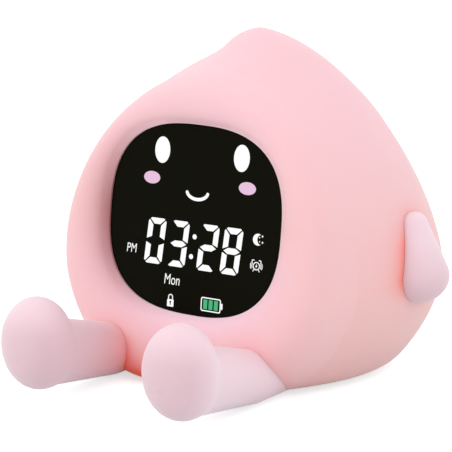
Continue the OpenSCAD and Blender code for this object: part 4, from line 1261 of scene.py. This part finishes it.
def screw_pattern(depth):
    """A pan-head screw with a cross recess, its head's underside at the origin and its shank along -Z."""
    shank = [(0.5, -depth), (SCREW_R, 0.8 - depth), (SCREW_R, -0.05)]
    head = [(HEAD_R, 0), (HEAD_R, 0.35), (2.1, 0.75), (1.5, 1.02)]
    screw = turned("screw", shank + head, -depth - 0.3, HEAD_T, 32)
    for size in ((CROSS_L, CROSS_W), (CROSS_W, CROSS_L)):
        carve(screw, prism("slot", box_loop(0, 0, *size), CROSS_FLOOR, 2, together))
    return screw


def corners(x, y, middle_y):
    return [(a * x, middle_y + b * y) for a in (-1, 1) for b in (-1, 1)]


class CLOCK_OT_screws(bpy.types.Operator):
    """Makes the screws that show, at the base and on the panel"""

    bl_idname = "alarm_clock.screws"
    bl_label = "Screws"

    def execute(self, context):
        steel = FINISHES["screw_steel"]
        points = [(x, y, BASE_SCREW_Z) for x, y in corners(*BASE_SPACING) + corners(*STAND_SPACING)]
        base = repeated("base_screw_set", screw_pattern(BASE_SCREW_L), points, (0.0, 0.0, -1.0), steel)
        low, high = (np.array(c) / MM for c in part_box("panel_screws"))
        points = [(s * (high[0] - HEAD_R), high[1] - HEAD_T, (low[2] + high[2]) / 2) for s in (-1, 1)]
        panel = repeated("panel_screw_set", screw_pattern(PANEL_SCREW_L), points, (0.0, 1.0, 0.0), steel)
        for piece, node in ((base, "base_screws"), (panel, "panel_screws")):
            smooth_edges(piece, 30)
            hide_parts(node)
            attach(piece, ROOT)
        return {"FINISHED"}


# ---------- stage

# Where each lamp stands, in metres, and its share of the main lamp's power
LAMPS = {"fill": ((-0.5, -0.75, 0.6), 1), "side": ((0.95, 0.05, 0.45), 0.25), "top": ((0, 0.05, 1.1), 0.3)}
LAMP_SIZE = 0.8
LAMP_TARGET = (0, 0, 0.05)
FLOOR_SIZE = 18000
FLOOR_COLOR = (0.78, 0.84, 0.84)
FLOOR_GLOW_COLOR = (0.96, 1, 1)
FLOOR_GLOW = 0.6
# The camera looks at a point beside the display's middle, and its lens is worked out for a picture this many
# pixels wide
AIM_RIGHT = 10.26
AIM_DOWN = 1.9
PICTURE_WIDTH = 452
SENSOR = 36


def add_lamp(name, place, power):
    lamp = bpy.data.lights.new(name, "AREA")
    lamp.shape = "DISK"
    lamp.size = LAMP_SIZE
    lamp.energy = power
    obj = new_object(name, lamp)
    obj.location = place
    obj.rotation_euler = (Vector(LAMP_TARGET) - Vector(place)).to_track_quat("-Z", "Y").to_euler()


def make_camera(stage):
    turn = Euler((math.pi / 2 - stage.elevation, 0, stage.azimuth))
    right, up, back = turn.to_matrix().col
    target = (Vector(from_face(0, 0, 0)) + right * AIM_RIGHT - up * AIM_DOWN) * MM
    camera = bpy.data.cameras.new("camera")
    camera.sensor_width = SENSOR
    camera.lens = SENSOR * stage.scale * stage.distance / MM / PICTURE_WIDTH
    camera.clip_start = 0.01
    camera.clip_end = 20
    obj = new_object("camera", camera)
    obj.location = target + back * stage.distance
    obj.rotation_euler = turn
    bpy.context.scene.camera = obj


def seen_strength(tree, rest, seen):
    """An emission's strength: seen for the camera, reflections and clear plastic, and rest otherwise."""
    path = add_node(tree, "ShaderNodeLightPath", {}).outputs
    share = path["Is Camera Ray"]
    for ray in ("Is Glossy Ray", "Is Transmission Ray"):
        share = add_node(tree, "ShaderNodeMath", {0: share, 1: path[ray]}, operation="MAXIMUM").outputs[0]
    ends = {"Value": share, "To Min": rest, "To Max": seen}
    return add_node(tree, "ShaderNodeMapRange", ends).outputs["Result"]


def make_world(stage):
    world = bpy.data.worlds.new("studio")
    bpy.context.scene.world = world
    world.use_nodes = True
    tree = world.node_tree
    inputs = {"Color": (1, 1, 1, 1), "Strength": seen_strength(tree, stage.sky, 1.0)}
    fill(tree, tree.nodes["Background"], inputs)


def make_floor():
    outline = box_loop(0, 0, FLOOR_SIZE, FLOOR_SIZE)
    floor = add_mesh("floor", [(x, y, 0) for x, y in outline], [(0, 1, 2, 3)])
    n = Nodes("white_floor")
    n.set(Base_Color=(*FLOOR_COLOR, 1), Roughness=0.9, Specular_IOR_Level=0.1)
    glow = seen_strength(n.tree, 0.0, FLOOR_GLOW)
    n.set(Emission_Color=(*FLOOR_GLOW_COLOR, 1), Emission_Strength=glow)
    floor.data.materials.append(n.material)


class CLOCK_OT_stage(bpy.types.Operator):
    """Makes the floor, the lamps, the surroundings and the camera"""

    bl_idname = "alarm_clock.stage"
    bl_label = "Stage"

    def execute(self, context):
        stage = context.scene.clock_stage
        make_floor()
        make_world(stage)
        for name, (place, share) in LAMPS.items():
            add_lamp(name, place, stage.key * share)
        make_camera(stage)
        context.scene.view_settings.view_transform = "Standard"
        return {"FINISHED"}


# ---------- panel and running


class CLOCK_PT_panel(bpy.types.Panel):
    bl_label = "Alarm clock"
    bl_idname = "CLOCK_PT_panel"
    bl_space_type = "VIEW_3D"
    bl_region_type = "UI"
    bl_category = "Alarm clock"

    def draw(self, context):
        for name in GROUPS:
            group = getattr(context.scene, name)
            box = self.layout.box()
            box.label(text=name.replace("clock_", "").capitalize())
            for key in group.__annotations__:
                box.prop(group, key)
        for operator in OPERATORS:
            self.layout.operator(operator.bl_idname)


GROUPS = {
    "clock_shape": ClockShape,
    "clock_looks": ClockLooks,
    "clock_display": ClockDisplay,
    "clock_stage": ClockStage,
}
OPERATORS = (
    CLOCK_OT_finishes,
    CLOCK_OT_skin,
    CLOCK_OT_limbs,
    CLOCK_OT_signs,
    CLOCK_OT_marks,
    CLOCK_OT_screws,
    CLOCK_OT_stage,
)


def register():
    for cls in (*GROUPS.values(), *OPERATORS, CLOCK_PT_panel):
        bpy.utils.register_class(cls)
    for name, group in GROUPS.items():
        setattr(bpy.types.Scene, name, bpy.props.PointerProperty(type=group))


def unregister():
    for name in GROUPS:
        delattr(bpy.types.Scene, name)
    for cls in reversed((*GROUPS.values(), *OPERATORS, CLOCK_PT_panel)):
        bpy.utils.unregister_class(cls)


def main():
    register()
    for step in ("finishes", "skin", "limbs", "signs", "marks", "screws", "stage"):
        getattr(bpy.ops.alarm_clock, step)()


if __name__ == "__main__":
    main()
